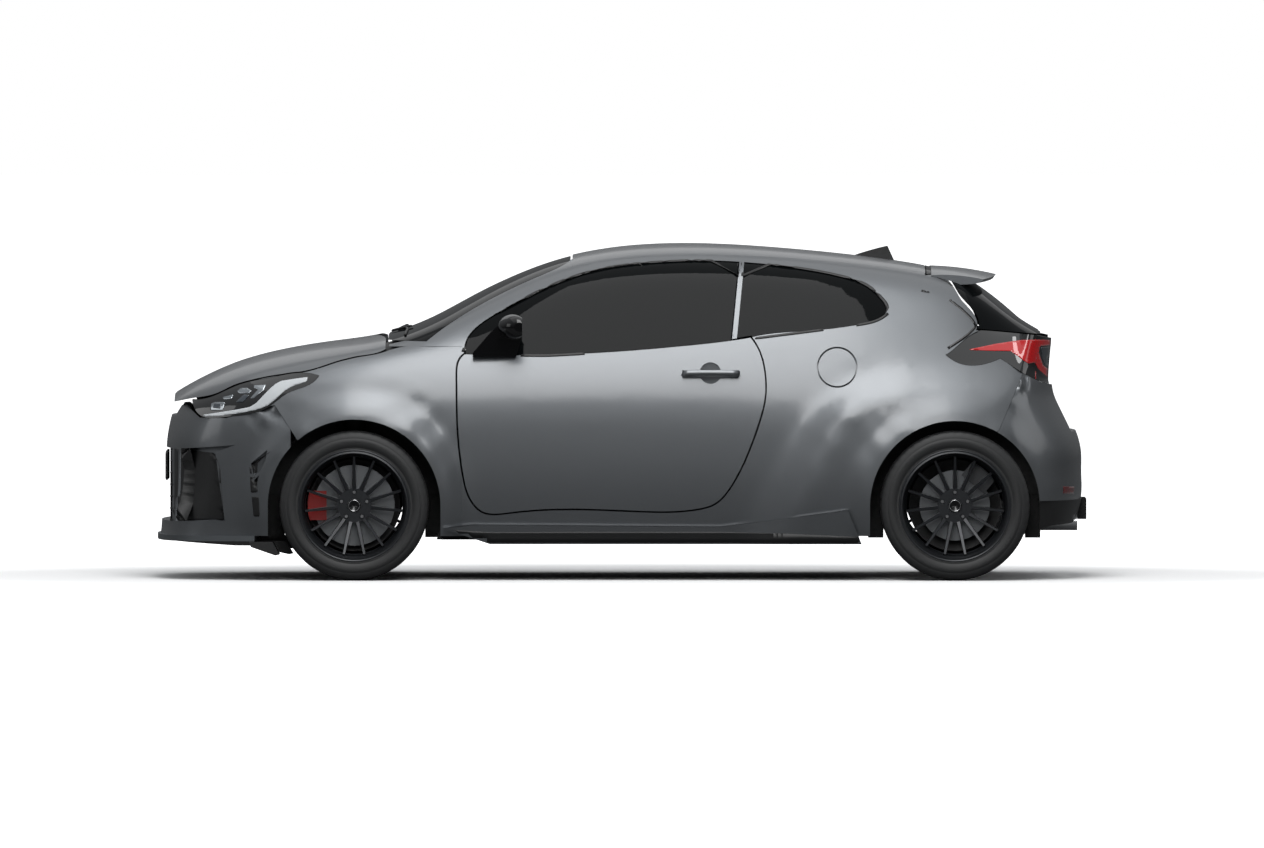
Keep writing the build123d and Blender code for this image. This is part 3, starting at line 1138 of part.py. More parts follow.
def main():
    os.makedirs("parts", exist_ok=True)
    frame = make_side_frame()
    write("side_frame_right", mirrored(frame))
    for hollow in flap_pocket():
        frame = frame - hollow
    write("side_frame_left", frame)
    write("fuel_flap", make_fuel_flap())
    write("roof_panel", make_roof())
    fender = make_fender()
    write("fender_left", fender)
    write("fender_right", mirrored(fender))
    write("hood", make_hood())
    write("windscreen", make_windscreen())
    write("cowl", make_cowl())
    pane = make_quarter_glass()
    write("quarter_glass", pane, mirrored(pane))
    write("front_bumper", make_front_bumper())
    write("rear_bumper", make_rear_bumper())
    lamp = make_headlamp()
    write("headlamps", lamp, mirrored(lamp))
    lamp = make_tail_lamp()
    write("tail_lamps", lamp, mirrored(lamp))
    write("tailgate", make_tailgate())
    write("rear_glass", make_rear_glass())
    write("rear_spoiler", make_spoiler())
    door, glass, mirror = make_door(), make_door_glass(), make_mirror()
    for name, place in (("left", lambda s: s), ("right", mirrored)):
        write(f"door_{name}", place(door))
        write(f"door_glass_{name}", place(glass))
        write(f"mirror_{name}", place(mirror))
    write("floor_pan", make_floor())
    write("front_structure", make_front_structure())
    write("front_wheelhouses", *make_wheelhouses(front_axle_y, arch_radius_front, liner_inner, 760.0, strut_x))
    write("rear_wheelhouses", *make_wheelhouses(rear_axle_y, arch_radius_rear, rear_liner_inner, 700.0))
    write("engine_block", make_engine())
    strut = make_strut()
    write("front_suspension", make_front_suspension())
    write("front_struts", strut, mirrored(strut))
    write("rear_suspension", make_rear_suspension())
    write("dashboard", make_dashboard())
    write("steering_wheel", make_steering_wheel())
    write("front_seats", *make_front_seats())
    write("rear_seat", make_rear_seat())
    write("roof_antenna", make_antenna())
    write("front_splitter", make_splitter())
    skirt = make_skirt()
    write("side_skirts", skirt, mirrored(skirt))
    write("rear_diffuser", make_diffuser())
    write("exhaust", make_exhaust())
    write("grille", make_grille())
    tyre, wheel = make_tyre(), make_wheel()
    for axle, y, track, radius, turn in (("front", front_axle_y, front_track, disc_radius_front, 0.0),
                                         ("rear", rear_axle_y, rear_track, disc_radius_rear, rear_caliper_turn)):
        rotor, caliper = make_brake_disc(radius), make_caliper(radius, turn)
        knuckle = make_knuckle(radius, turn, 62.0)
        for name, s in (("left", 1), ("right", -1)):
            def place(piece):
                piece = shifted_to(piece, track / 2, y, tyre_radius)
                return piece if s > 0 else mirrored(piece)
            write(f"tyre_{axle}_{name}", place(tyre))
            write(f"wheel_{axle}_{name}", place(wheel))
            write(f"brake_disc_{axle}_{name}", place(rotor))
            write(f"caliper_{axle}_{name}", place(caliper))
            if axle == "front":
                write(f"knuckle_{name}", place(knuckle))


if __name__ == "__main__":
    main()
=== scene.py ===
# %% [markdown]
# # A three-door hot hatchback
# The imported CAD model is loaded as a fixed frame. This scene dresses it: paint, glass, rubber,
# cast wheels, lamps and cabin, then a pale studio with soft boxes and a long lens from the side.

# %% Load the frame
import json
import math

import bpy
import numpy as np
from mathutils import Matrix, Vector
from mathutils.bvhtree import BVHTree
from mathutils.geometry import delaunay_2d_cdt


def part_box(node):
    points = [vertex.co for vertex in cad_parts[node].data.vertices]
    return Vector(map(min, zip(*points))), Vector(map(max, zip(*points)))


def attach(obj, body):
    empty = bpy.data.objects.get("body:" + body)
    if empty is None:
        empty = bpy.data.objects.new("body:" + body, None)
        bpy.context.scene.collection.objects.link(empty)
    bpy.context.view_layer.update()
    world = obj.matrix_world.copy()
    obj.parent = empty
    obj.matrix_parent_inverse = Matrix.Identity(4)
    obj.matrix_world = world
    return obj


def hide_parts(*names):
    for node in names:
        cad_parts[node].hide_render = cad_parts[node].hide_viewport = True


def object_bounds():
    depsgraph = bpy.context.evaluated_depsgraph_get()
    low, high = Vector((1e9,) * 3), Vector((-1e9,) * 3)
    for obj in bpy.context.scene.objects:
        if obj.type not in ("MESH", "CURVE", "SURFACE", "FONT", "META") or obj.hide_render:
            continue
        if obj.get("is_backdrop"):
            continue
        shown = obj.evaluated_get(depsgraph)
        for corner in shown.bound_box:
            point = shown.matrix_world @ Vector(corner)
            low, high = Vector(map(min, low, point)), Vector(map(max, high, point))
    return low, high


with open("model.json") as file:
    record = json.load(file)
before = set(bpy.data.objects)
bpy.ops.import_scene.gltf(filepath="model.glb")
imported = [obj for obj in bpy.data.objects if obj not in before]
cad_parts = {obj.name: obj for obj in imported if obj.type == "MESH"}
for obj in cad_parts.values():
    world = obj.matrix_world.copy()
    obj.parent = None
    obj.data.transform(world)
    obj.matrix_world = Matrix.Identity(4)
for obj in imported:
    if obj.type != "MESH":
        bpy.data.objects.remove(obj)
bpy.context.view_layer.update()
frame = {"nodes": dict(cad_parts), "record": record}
nodes = frame["nodes"]


# %% [markdown]
# ## Colour and node helpers
# Colours are written as sRGB hex and turned to linear once. One small function adds a shader node.

# %% Colour and node helpers
def linear(code, alpha=1.0):
    """A Blender colour from an sRGB hex code."""
    parts = [int(code[i:i + 2], 16) / 255 for i in (1, 3, 5)]
    return [c / 12.92 if c <= 0.04045 else ((c + 0.055) / 1.055) ** 2.4 for c in parts] + [alpha]


def add_node(tree, kind, inputs=None, **settings):
    """Adds a node, sets its properties, and fills inputs with values or links."""
    node = tree.nodes.new(kind)
    for key, value in settings.items():
        setattr(node, key, value)
    for key, value in (inputs or {}).items():
        if isinstance(value, bpy.types.NodeSocket):
            tree.links.new(value, node.inputs[key])
        else:
            node.inputs[key].default_value = value
    return node


def principled(name, colour, **inputs):
    """A material with one Principled shader; returns the material, its tree and the shader."""
    material = bpy.data.materials.new(name)
    material.use_nodes = True
    tree = material.node_tree
    shader = tree.nodes["Principled BSDF"]
    shader.inputs["Base Color"].default_value = linear(colour)
    for key, value in inputs.items():
        shader.inputs[key.replace("_", " ")].default_value = value
    return material, tree, shader


def per_metre(millimetres):
    """The noise scale that gives features of this size."""
    return 1000.0 / millimetres


def grain(tree, shader, size_mm, height_mm, detail=2.0):
    """A fine bump of noise on a shader's normal."""
    where = add_node(tree, "ShaderNodeTexCoord")
    noise = add_node(tree, "ShaderNodeTexNoise",
                     {"Vector": where.outputs["Object"], "Scale": per_metre(size_mm), "Detail": detail})
    bump = add_node(tree, "ShaderNodeBump",
                    {"Height": noise.outputs["Fac"], "Distance": height_mm / 1000.0, "Strength": 1.0})
    tree.links.new(bump.outputs["Normal"], shader.inputs["Normal"])


# %% [markdown]
# ## Materials
# Each is named for the real material and how it is finished; the glass's name also says that its darkness is
# painted shade.

# %% Paint and coated metal
paint, tree, shader = principled("metallic grey basecoat under clearcoat", "#66696C", Metallic=0.85,
                                 Coat_Weight=0.8, Coat_Roughness=0.16, Coat_IOR=1.5)
where = add_node(tree, "ShaderNodeTexCoord")
flake = add_node(tree, "ShaderNodeTexVoronoi", {"Vector": where.outputs["Object"], "Scale": per_metre(0.6)})
spread = add_node(tree, "ShaderNodeMapRange", {"Value": flake.outputs["Color"], "To Min": 0.36, "To Max": 0.48})
tree.links.new(spread.outputs["Result"], shader.inputs["Roughness"])
chassis_coat, tree, shader = principled("black sprayed underbody coat", "#141415", Roughness=0.6)
grain(tree, shader, 4.0, 0.3)
caliper_red, tree, shader = principled("red enamelled iron", "#8E1511", Roughness=0.3, Coat_Weight=0.5)
grain(tree, shader, 3.0, 0.05)
caliper_grey, tree, shader = principled("dark grey enamelled iron", "#303235", Roughness=0.4)
grain(tree, shader, 3.0, 0.05)
wheel_paint, tree, shader = principled("satin graphite lacquer on cast aluminium", "#222427", Metallic=0.6,
                                       Roughness=0.36, Coat_Weight=0.3, Coat_Roughness=0.2)
grain(tree, shader, 1.0, 0.01)
print("paint materials", len(bpy.data.materials))

# %% Bare metal
disc_iron, tree, shader = principled("turned grey iron", "#6E7072", Metallic=1.0, Roughness=0.38)
where = add_node(tree, "ShaderNodeTexCoord")
turned = add_node(tree, "ShaderNodeTexNoise", {"Vector": where.outputs["Object"], "Scale": per_metre(3.0)})
dull = add_node(tree, "ShaderNodeMapRange", {"Value": turned.outputs["Fac"], "To Min": 0.3, "To Max": 0.46})
tree.links.new(dull.outputs["Result"], shader.inputs["Roughness"])
engine_alloy, tree, shader = principled("sand cast aluminium", "#8A8B8C", Metallic=1.0, Roughness=0.6)
grain(tree, shader, 2.5, 0.2)
steel_bright, tree, shader = principled("polished stainless steel", "#C9CACB", Metallic=1.0, Roughness=0.14)
grain(tree, shader, 6.0, 0.02)
print("metals made")

# %% Plastic, rubber and cloth
black_gloss = principled("piano black moulding", "#050506", Roughness=0.08, IOR=1.5)[0]
black_trim, tree, shader = principled("grained black polypropylene", "#101112", Roughness=0.5, IOR=1.49)
grain(tree, shader, 1.2, 0.08)
interior_plastic, tree, shader = principled("grained dashboard plastic", "#1A1B1D", Roughness=0.6, IOR=1.49)
grain(tree, shader, 1.5, 0.1)
rubber, tree, shader = principled("carbon black tyre rubber", "#151617", Roughness=0.58, IOR=1.52)
grain(tree, shader, 2.0, 0.06)
seal_rubber, tree, shader = principled("extruded window seal rubber", "#0B0B0C", Roughness=0.45, IOR=1.5)
grain(tree, shader, 1.0, 0.03)
leather, tree, shader = principled("smooth black leather", "#151517", Roughness=0.45, IOR=1.5)
grain(tree, shader, 1.6, 0.08)
cloth, tree, shader = principled("woven charcoal seat cloth", "#232427", Roughness=0.9, Sheen_Weight=0.3)
where = add_node(tree, "ShaderNodeTexCoord")
warp = add_node(tree, "ShaderNodeTexWave", {"Vector": where.outputs["Object"], "Scale": per_metre(3.0),
                                            "Distortion": 0.4})
weave = add_node(tree, "ShaderNodeBump", {"Height": warp.outputs["Fac"], "Distance": 0.0004})
tree.links.new(weave.outputs["Normal"], shader.inputs["Normal"])
lens_red = principled("red acrylic lens", "#A20D10", Roughness=0.1, Coat_Weight=1.0, Coat_Roughness=0.02,
                      Emission_Color=linear("#B01014"), Emission_Strength=0.18)[0]
reflector_red = principled("red prism reflector", "#5E0D12", Roughness=0.2, Coat_Weight=1.0)[0]
lamp_black = principled("smoked polycarbonate over a black housing", "#0A0B0C", Roughness=0.06,
                        Coat_Weight=1.0, Coat_Roughness=0.02)[0]
light_guide = principled("frosted light guide", "#B9BDC0", Roughness=0.3, Coat_Weight=1.0,
                         Coat_Roughness=0.03)[0]
lamp_chrome = principled("vacuum metallised reflector", "#A9AEB2", Metallic=1.0, Roughness=0.12)[0]
lens_glass = principled("projector lens glass", "#3A4046", Roughness=0.02, Metallic=0.2, Coat_Weight=1.0)[0]
plate_white = principled("bare white plate blank", "#D9D9D6", Roughness=0.4)[0]
print("plastics made", len(bpy.data.materials))

# %% Glass
# Near-black and almost opaque: partly the glass's own tint, and partly painted shade standing in for the dark
# cabin behind it.
glass = principled("tinted safety glass near black as painted cabin shade", "#0B0D0E", Roughness=0.02, IOR=1.45,
                   Specular_IOR_Level=0.05, Transmission_Weight=0.1)[0]
slots = {
    "paint": paint, "glass": glass, "black_gloss": black_gloss, "black_trim": black_trim, "tail_red": lamp_black,
    "lamp_clear": lamp_black, "tyre": rubber, "wheel_paint": wheel_paint, "disc_iron": disc_iron,
    "caliper_red": caliper_red, "caliper_grey": caliper_grey, "chassis_black": chassis_coat,
    "engine_alloy": engine_alloy, "interior_plastic": interior_plastic, "seat_cloth": cloth,
    "leather_black": leather, "steel_bright": steel_bright,
}
for part in frame["record"]["subparts"]:
    piece = nodes[part["node"]]
    piece.data.materials.clear()
    piece.data.materials.append(slots[part["material_slot"]])
lip, tree, shader = principled("grey painted lip on a black tray", "#6B6F72", Roughness=0.42)
where = add_node(tree, "ShaderNodeTexCoord")
height = add_node(tree, "ShaderNodeSeparateXYZ", {"Vector": where.outputs["Object"]})
above = add_node(tree, "ShaderNodeMath", {0: height.outputs["Z"], 1: 0.1655}, operation="GREATER_THAN")
tone = add_node(tree, "ShaderNodeMix", {0: above.outputs[0], 6: linear("#101112"), 7: linear("#6B6F72")},
                data_type="RGBA")
metal = add_node(tree, "ShaderNodeMath", {0: above.outputs[0], 1: 0.85}, operation="MULTIPLY")
tree.links.new(tone.outputs[2], shader.inputs["Base Color"])
tree.links.new(metal.outputs[0], shader.inputs["Metallic"])
nodes["front_splitter"].data.materials[0] = lip


# %% [markdown]
# ## Tools for trim
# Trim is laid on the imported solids: a ray finds the surface under each point of a flat outline or path.

# %% Rays and meshes
MM = 0.001
rays = {}


def solid_rays(*names):
    """A ray finder over some CAD nodes."""
    if names not in rays:
        points, faces = [], []
        for name in names:
            mesh = nodes[name].data
            start = len(points)
            points += [v.co.copy() for v in mesh.vertices]
            faces += [[start + i for i in polygon.vertices] for polygon in mesh.polygons]
        rays[names] = BVHTree.FromPolygons(points, faces)
    return rays[names]


def land(names, a, b, axis, sign):
    """Point and outward normal where a ray against the axis meets the solids, at (a, b) mm in the flat view."""
    far = 3.0 * sign
    if axis == "x":
        origin, heading = Vector((far, a * MM, b * MM)), Vector((-sign, 0, 0))
    elif axis == "y":
        origin, heading = Vector((a * MM, far, b * MM)), Vector((0, -sign, 0))
    else:
        origin, heading = Vector((a * MM, b * MM, far)), Vector((0, 0, -sign))
    hit, normal, _, _ = solid_rays(*names).ray_cast(origin, heading)
    if hit is None:
        hit, normal, _, _ = solid_rays(*names).find_nearest(origin + heading * (abs(far) - 0.7))
    if normal.dot(heading) > 0:
        normal = -normal
    return hit, normal


def add_mesh(name, points, faces, material, body, smooth=True):
    """A mesh object that rides on a body."""
    mesh = bpy.data.meshes.new(name)
    mesh.from_pydata([tuple(p) for p in points], [], faces)
    mesh.update()
    mesh.polygons.foreach_set("use_smooth", [smooth] * len(mesh.polygons))
    piece = bpy.data.objects.new(name, mesh)
    bpy.context.scene.collection.objects.link(piece)
    mesh.materials.append(material)
    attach(piece, body)
    return piece


def resample(path, step):
    """Points at an even pitch along a polyline, ends kept."""
    path = np.array(path, float)
    run = np.concatenate([[0], np.cumsum(np.linalg.norm(np.diff(path, axis=0), axis=1))])
    count = max(2, int(round(run[-1] / step)) + 1)
    at = np.linspace(0, run[-1], count)
    return np.stack([np.interp(at, run, path[:, k]) for k in range(path.shape[1])], axis=1)


def rounded(path, passes=2):
    """Cuts the corners of an open path, ends kept."""
    path = np.array(path, float)
    for _ in range(passes):
        cut = np.empty((2 * len(path) - 2, path.shape[1]))
        cut[0::2] = 0.75 * path[:-1] + 0.25 * path[1:]
        cut[1::2] = 0.25 * path[:-1] + 0.75 * path[1:]
        cut[0], cut[-1] = path[0], path[-1]
        path = cut
    return path


def patch(name, outline, names, body, material, axis="x", sign=1, lift=0.4, thick=0.8, pitch=14.0):
    """A thin skin with the shape of a flat outline in mm, laid on the solids."""
    edge = resample(list(outline) + [outline[0]], pitch)[:-1]
    low, high = edge.min(axis=0), edge.max(axis=0)
    inner = [(a, b) for a in np.arange(low[0], high[0], pitch) for b in np.arange(low[1], high[1], pitch)]
    flat = [Vector(p) for p in list(edge) + inner]
    rim = list(range(len(edge)))
    spots, _, faces, _, _, _ = delaunay_2d_cdt(flat, [], [rim], 1, 1e-4)
    tops, feet = [], []
    for spot in spots:
        hit, normal = land(names, spot.x, spot.y, axis, sign)
        tops.append(hit + normal * (lift + thick) * MM)
        feet.append(hit + normal * lift * MM)
    count = len(tops)
    sides, uses = {}, {}
    for face in faces:
        for a, b in zip(face, list(face[1:]) + [face[0]]):
            uses[frozenset((a, b))] = uses.get(frozenset((a, b)), 0) + 1
            sides[frozenset((a, b))] = (a, b)
    walls = [(sides[k][1], sides[k][0], sides[k][0] + count, sides[k][1] + count)
             for k, v in uses.items() if v == 1]
    back = [tuple(count + i for i in reversed(face)) for face in faces]
    return add_mesh(name, tops + feet, [tuple(f) for f in faces] + back + walls, material, body)


def strip(name, path, width, height, names, body, material, axis="x", sign=1, pitch=16.0, lift=-0.5):
    """A raised bead of a given width and height along a flat path in mm, laid on the solids."""
    spots = resample(rounded(path), pitch)
    hits = [land(names, a, b, axis, sign) for a, b in spots]
    points, faces = [], []
    profile = [(-0.5, 0.0), (-0.42, 0.75), (0.0, 1.0), (0.42, 0.75), (0.5, 0.0)]
    for i, (hit, normal) in enumerate(hits):
        ahead = hits[min(i + 1, len(hits) - 1)][0] - hits[max(i - 1, 0)][0]
        across = normal.cross(ahead).normalized()
        for x, z in profile:
            points.append(hit + across * (x * width * MM) + normal * ((lift + z * height) * MM))
    n = len(profile)
    for i in range(len(hits) - 1):
        for k in range(n):
            a, b = i * n + k, i * n + (k + 1) % n
            faces.append((a, b, b + n, a + n))
    last = (len(hits) - 1) * n
    faces += [tuple(range(n - 1, -1, -1)), tuple(last + k for k in range(n))]
    return add_mesh(name, points, faces, material, body)


def lathe(name, centre, profile, material, body, turns=96, depth=None, smooth=True):
    """A ring turned about X round a centre in mm, from (x, radius) pairs; depth(i, k) carves it."""
    points, faces = [], []
    count = len(profile)
    for i in range(turns):
        angle = 2 * math.pi * i / turns
        for k, (x, radius) in enumerate(profile):
            r = radius - (depth(i, k) if depth else 0.0)
            points.append(((centre[0] + x) * MM, (centre[1] + r * math.sin(angle)) * MM,
                           (centre[2] + r * math.cos(angle)) * MM))
    for i in range(turns):
        j = (i + 1) % turns
        for k in range(count):
            m = (k + 1) % count
            faces.append((i * count + k, j * count + k, j * count + m, i * count + m))
    return add_mesh(name, points, faces, material, body, smooth)


print("tools ready")


# %% [markdown]
# ## Body trim
# Seals round the side glass, black corners by the rear glass, sills, arch liners and pillar trim.

# %% Window seals
SIDES = (("left", 1), ("right", -1))
window_ring = [
    (-682, 973), (-665, 1033), (-601, 1098), (-492, 1163), (-328, 1245), (-187, 1299), (-55, 1332), (106, 1350),
    (268, 1359), (494, 1353), (660, 1339), (800, 1318), (950, 1289), (1039, 1255), (1095, 1211), (1128, 1160),
    (1112, 1124), (1039, 1095), (775, 1061), (550, 1033), (268, 1005), (51, 987), (-285, 965), (-383, 964),
    (-677, 970),
]
belt = [(-690, 964), (-383, 957), (-285, 958), (51, 980), (268, 998), (470, 1022)]
rear_belt = [(500, 1024), (550, 1029), (775, 1057), (1039, 1091), (1100, 1112), (1130, 1136)]
for side, sign in SIDES:
    frame_node = f"side_frame_{side}"
    upper = [p for p in window_ring if p[1] > 1040 or p[0] < -600]
    strip(f"window_seal_{side}", upper, 15.0, 3.0, (frame_node,), "car_body", seal_rubber, sign=sign)
    strip(f"rear_belt_seal_{side}", rear_belt, 13.0, 3.0, (frame_node,), "car_body", seal_rubber, sign=sign)
    strip(f"door_belt_seal_{side}", belt, 13.0, 3.0, (f"door_{side}",), f"door_{side}_leaf", seal_rubber,
          sign=sign)
print("seals laid")

# %% Black corners beside the tailgate glass
glass_corner = [
    (1288, 1312), (1400, 1262), (1455, 1205), (1500, 1140), (1516, 1092), (1470, 1042), (1385, 988),
]
for side, sign in SIDES:
    strip(f"glass_corner_{side}", glass_corner, 13.0, 2.5, (f"side_frame_{side}",), "car_body", black_gloss,
          sign=sign)
print("glass corners laid")

# %% Black sill under the painted skirts
sill = [(-760, 160), (-760, 218), (-560, 205), (-200, 207), (413, 207), (700, 200), (1008, 186), (1008, 160)]
for side, sign in SIDES:
    patch(f"sill_strip_{side}", sill, ("side_skirts", f"side_frame_{side}", "front_wheelhouses"), "car_body",
          black_trim, sign=sign, pitch=20.0)
print("sills laid")

# %% Lower edges of the arch liners
ARCH_FOOT, ARCH_SEAM = 176.0, 362.0


def liner_edge(name, x, y_span):
    """A thin black wall that carries an arch's inner wall down to the sill, facing the wheel."""
    (y0, y1), (x0, x1) = y_span, (x - 2.0, x + 2.0)
    corners = [(a * MM, b * MM, c * MM) for c in (ARCH_FOOT, ARCH_SEAM)
               for a, b in ((x0, y0), (x1, y0), (x1, y1), (x0, y1))]
    faces = [(3, 2, 1, 0), (4, 5, 6, 7), (0, 1, 5, 4), (1, 2, 6, 5), (2, 3, 7, 6), (3, 0, 4, 7)]
    add_mesh(name, corners, faces, chassis_coat, "car_body", smooth=False)


for side, sign in SIDES:
    for k, (x, span) in enumerate(((454.0, (-1520.0, -1446.0)), (454.0, (-846.0, -772.0)),
                                   (550.0, (1046.0, 1112.0)), (550.0, (1716.0, 1782.0)))):
        liner_edge(f"arch_liner_{side}_{k}", sign * x, span)
print("arch liners carried down")

# %% Pillar trim behind each door's rear edge
TRIM_REAR, TRIM_FRONT, TRIM_THICK, DOOR_CLEAR = 645.0, 562.0, 2.5, 9.0


def inner_skin(names, y, z, sign):
    """The x in mm where a ray from the cabin's middle first meets the solids."""
    hit = solid_rays(*names).ray_cast(Vector((0, y * MM, z * MM)), Vector((sign, 0, 0)))[0]
    return abs(hit.x) / MM if hit else 1e6


for side, sign in SIDES:
    points, levels = [], np.arange(735.0, 1036.0, 25.0)
    for z in levels:
        x = min(inner_skin((f"side_frame_{side}",), TRIM_REAR, z, sign),
                *[inner_skin((f"door_{side}", f"door_glass_{side}"), y, z, sign) - DOOR_CLEAR
                  for y in (565.0, 590.0, 610.0)])
        for depth in (0.0, -TRIM_THICK):
            points += [(sign * (x + depth) * MM, y * MM, z * MM) for y in (TRIM_REAR, TRIM_FRONT)]
    faces = []
    for k in range(len(levels) - 1):
        a, b = 4 * k, 4 * k + 4
        faces += [(a, a + 1, b + 1, b), (a + 3, a + 2, b + 2, b + 3),
                  (a + 1, a + 3, b + 3, b + 1), (a + 2, a, b, b + 2)]
    top = 4 * (len(levels) - 1)
    faces += [(0, 2, 3, 1), (top, top + 1, top + 3, top + 2)]
    add_mesh(f"pillar_trim_{side}", points, faces, interior_plastic, "car_body", smooth=False)
    print("pillar trim", side, [round(abs(p[0]) / MM) for p in points[::16]])

# %% Door handle caps
handle_line = [(252, 883), (330, 885), (414, 885), (492, 883)]
for side, sign in SIDES:
    strip(f"handle_cap_{side}", handle_line, 25.0, 7.0, (f"door_{side}",), f"door_{side}_leaf", paint,
          sign=sign, pitch=12.0)
print("handle caps laid")


# %% [markdown]
# ## Lamps
# Light guides, projectors and red lenses sit on the black lamp housings.

# %% Headlamps
day_light = [
    (-1788, 695), (-1724, 699), (-1646, 710), (-1591, 721), (-1546, 732), (-1513, 746), (-1479, 774), (-1440, 810),
    (-1396, 833), (-1349, 846), (-1343, 866), (-1396, 859), (-1457, 849), (-1479, 838), (-1502, 819), (-1535, 785),
    (-1563, 755), (-1591, 738), (-1646, 727), (-1702, 718), (-1769, 707), (-1791, 704),
]
chrome_shapes = {
    "low_bowl": [(-1761, 728), (-1755, 752), (-1741, 758), (-1698, 758), (-1707, 724), (-1755, 721)],
    "high_bowl": [(-1646, 805), (-1630, 818), (-1602, 819), (-1584, 807), (-1596, 794), (-1633, 794)],
    "rear_blade": [(-1574, 830), (-1521, 833), (-1532, 810), (-1577, 773), (-1591, 774), (-1556, 813),
                   (-1574, 819)],
    "mid_blade": [(-1708, 779), (-1662, 791), (-1669, 771), (-1702, 768)],
}
lens_shapes = {
    "low_lens": [(-1748, 733), (-1742, 752), (-1712, 752), (-1718, 730)],
    "high_lens": [(-1652, 757), (-1616, 790), (-1592, 788), (-1621, 757)],
}
for side, sign in SIDES:
    lamp = ("headlamps",)
    patch(f"day_light_{side}", day_light, lamp, "car_body", light_guide, sign=sign, pitch=8.0)
    for name, outline in chrome_shapes.items():
        patch(f"{name}_{side}", outline, lamp, "car_body", lamp_chrome, sign=sign, pitch=6.0)
    for name, outline in lens_shapes.items():
        patch(f"{name}_{side}", outline, lamp, "car_body", lens_glass, sign=sign, pitch=6.0, lift=1.4)
print("headlamps detailed")

# %% Tail lamps
red_light = [
    (1476, 983), (1589, 1006), (1701, 1022), (1757, 1024), (1824, 1020), (1824, 998), (1778, 996), (1773, 969),
    (1792, 913), (1828, 887), (1836, 866), (1827, 859), (1810, 864), (1771, 899), (1757, 927), (1729, 922),
    (1708, 934), (1680, 957), (1652, 975), (1589, 976), (1483, 980),
]
reversing = [(1782, 990), (1822, 992), (1828, 948), (1822, 907), (1803, 913), (1788, 941)]
for side, sign in SIDES:
    patch(f"red_light_{side}", red_light, ("tail_lamps",), "car_body", lens_red, sign=sign, pitch=8.0)
    patch(f"reversing_lens_{side}", reversing, ("tail_lamps",), "car_body", lens_glass, sign=sign, pitch=8.0)
    glint = [(sign * x, z) for x, z in ((510, 394), (655, 397), (650, 366), (520, 363))]
    patch(f"reflector_{side}", glint, ("rear_bumper",), "car_body", reflector_red, axis="y", pitch=8.0)
print("tail lamps detailed")


# %% [markdown]
# ## Bumpers and plates
# Black liners fill the recesses, and the plates are bare.

# %% Bumper recess liners
intake = [
    (-1930, 556), (-1869, 553), (-1740, 541), (-1718, 479), (-1701, 252), (-1738, 258), (-1900, 248),
    (-1930, 300),
]
cells = [
    [(-1592, 492), (-1546, 521), (-1500, 551), (-1538, 519), (-1558, 498), (-1559, 457), (-1589, 454)],
    [(-1589, 441), (-1559, 441), (-1557, 376), (-1586, 373)],
    [(-1582, 356), (-1552, 356), (-1549, 272), (-1574, 272)],
]
for side, sign in SIDES:
    bumper = ("front_bumper",)
    patch(f"intake_liner_{side}", intake, bumper, "car_body", black_trim, sign=sign)
    for k, cell in enumerate(cells):
        patch(f"curtain_liner_{side}_{k}", cell, bumper, "car_body", black_trim, sign=sign, pitch=9.0)
print("recess liners laid")

# %% Plates
PLATE_HALF, PLATE_HEIGHT, PLATE_CORNER = 260.0, 112.0, 9.0
HOLDER_EDGE, HOLDER_DEPTH, BLANK_DEPTH = 6.0, 8.0, 2.0
PLATE_Y_FRONT, PLATE_Z_FRONT, PLATE_Z_REAR = -1950.0, 479.0, 665.0


def plate(name, y, z, body, facing):
    """A bare plate in a thin black holder."""
    pieces = (("holder", 0.0, HOLDER_EDGE, HOLDER_DEPTH, black_trim),
              ("blank", HOLDER_DEPTH, 0.0, BLANK_DEPTH, plate_white))
    for suffix, start, grow, depth, material in pieces:
        y0 = y + facing * start
        y1 = y0 + facing * depth
        a, b, c = PLATE_HALF + grow, PLATE_HEIGHT / 2 + grow, PLATE_CORNER
        ring = [(a - c, b), (a, b - c), (a, c - b), (a - c, -b), (c - a, -b), (-a, c - b), (-a, b - c), (c - a, b)]
        points = [(x * MM, yy * MM, (z + dz) * MM) for yy in (y0, y1) for x, dz in ring]
        n = len(ring)
        faces = [(k, (k + 1) % n, n + (k + 1) % n, n + k) for k in range(n)]
        faces += [tuple(reversed(range(n))), tuple(range(n, 2 * n))]
        if facing < 0:
            faces = [tuple(reversed(face)) for face in faces]
        add_mesh(f"{name}_{suffix}", points, faces, material, body, smooth=False)


plate("front_plate", PLATE_Y_FRONT, PLATE_Z_FRONT, "car_body", -1)
tail_y = land(("tailgate",), 0.0, PLATE_Z_REAR, "y", 1)[0].y / MM
plate("rear_plate", tail_y - 12.0, PLATE_Z_REAR, "tailgate_lid", 1)
print("plates at", PLATE_Y_FRONT, round(tail_y))


# %% [markdown]
# ## Wheels
# Tyres get their tread and sidewall, and each wheel its nuts and cap.

# %% Tyres
tyre_shape = [
    (-0.400, 229.2), (-0.440, 231.0), (-0.470, 238.0), (-0.478, 243.0), (-0.468, 246.5), (-0.480, 250.0),
    (-0.496, 262.0), (-0.500, 273.0), (-0.497, 284.0), (-0.490, 286.0), (-0.490, 288.0), (-0.484, 296.0),
    (-0.468, 305.0), (-0.448, 312.0), (-0.420, 316.4),
]
tread_at = np.concatenate([
    np.linspace(-0.39, -0.30, 4), [-0.285, -0.280, -0.245, -0.240], np.linspace(-0.22, -0.12, 4),
    [-0.105, -0.100, -0.065, -0.060], [-0.03, 0.03], [0.060, 0.065, 0.100, 0.105],
    np.linspace(0.12, 0.22, 4), [0.240, 0.245, 0.280, 0.285], np.linspace(0.30, 0.39, 4),
])
grooves = [(-0.280, -0.245), (-0.100, -0.065), (0.065, 0.100), (0.245, 0.280)]
tyre_width = 225.0
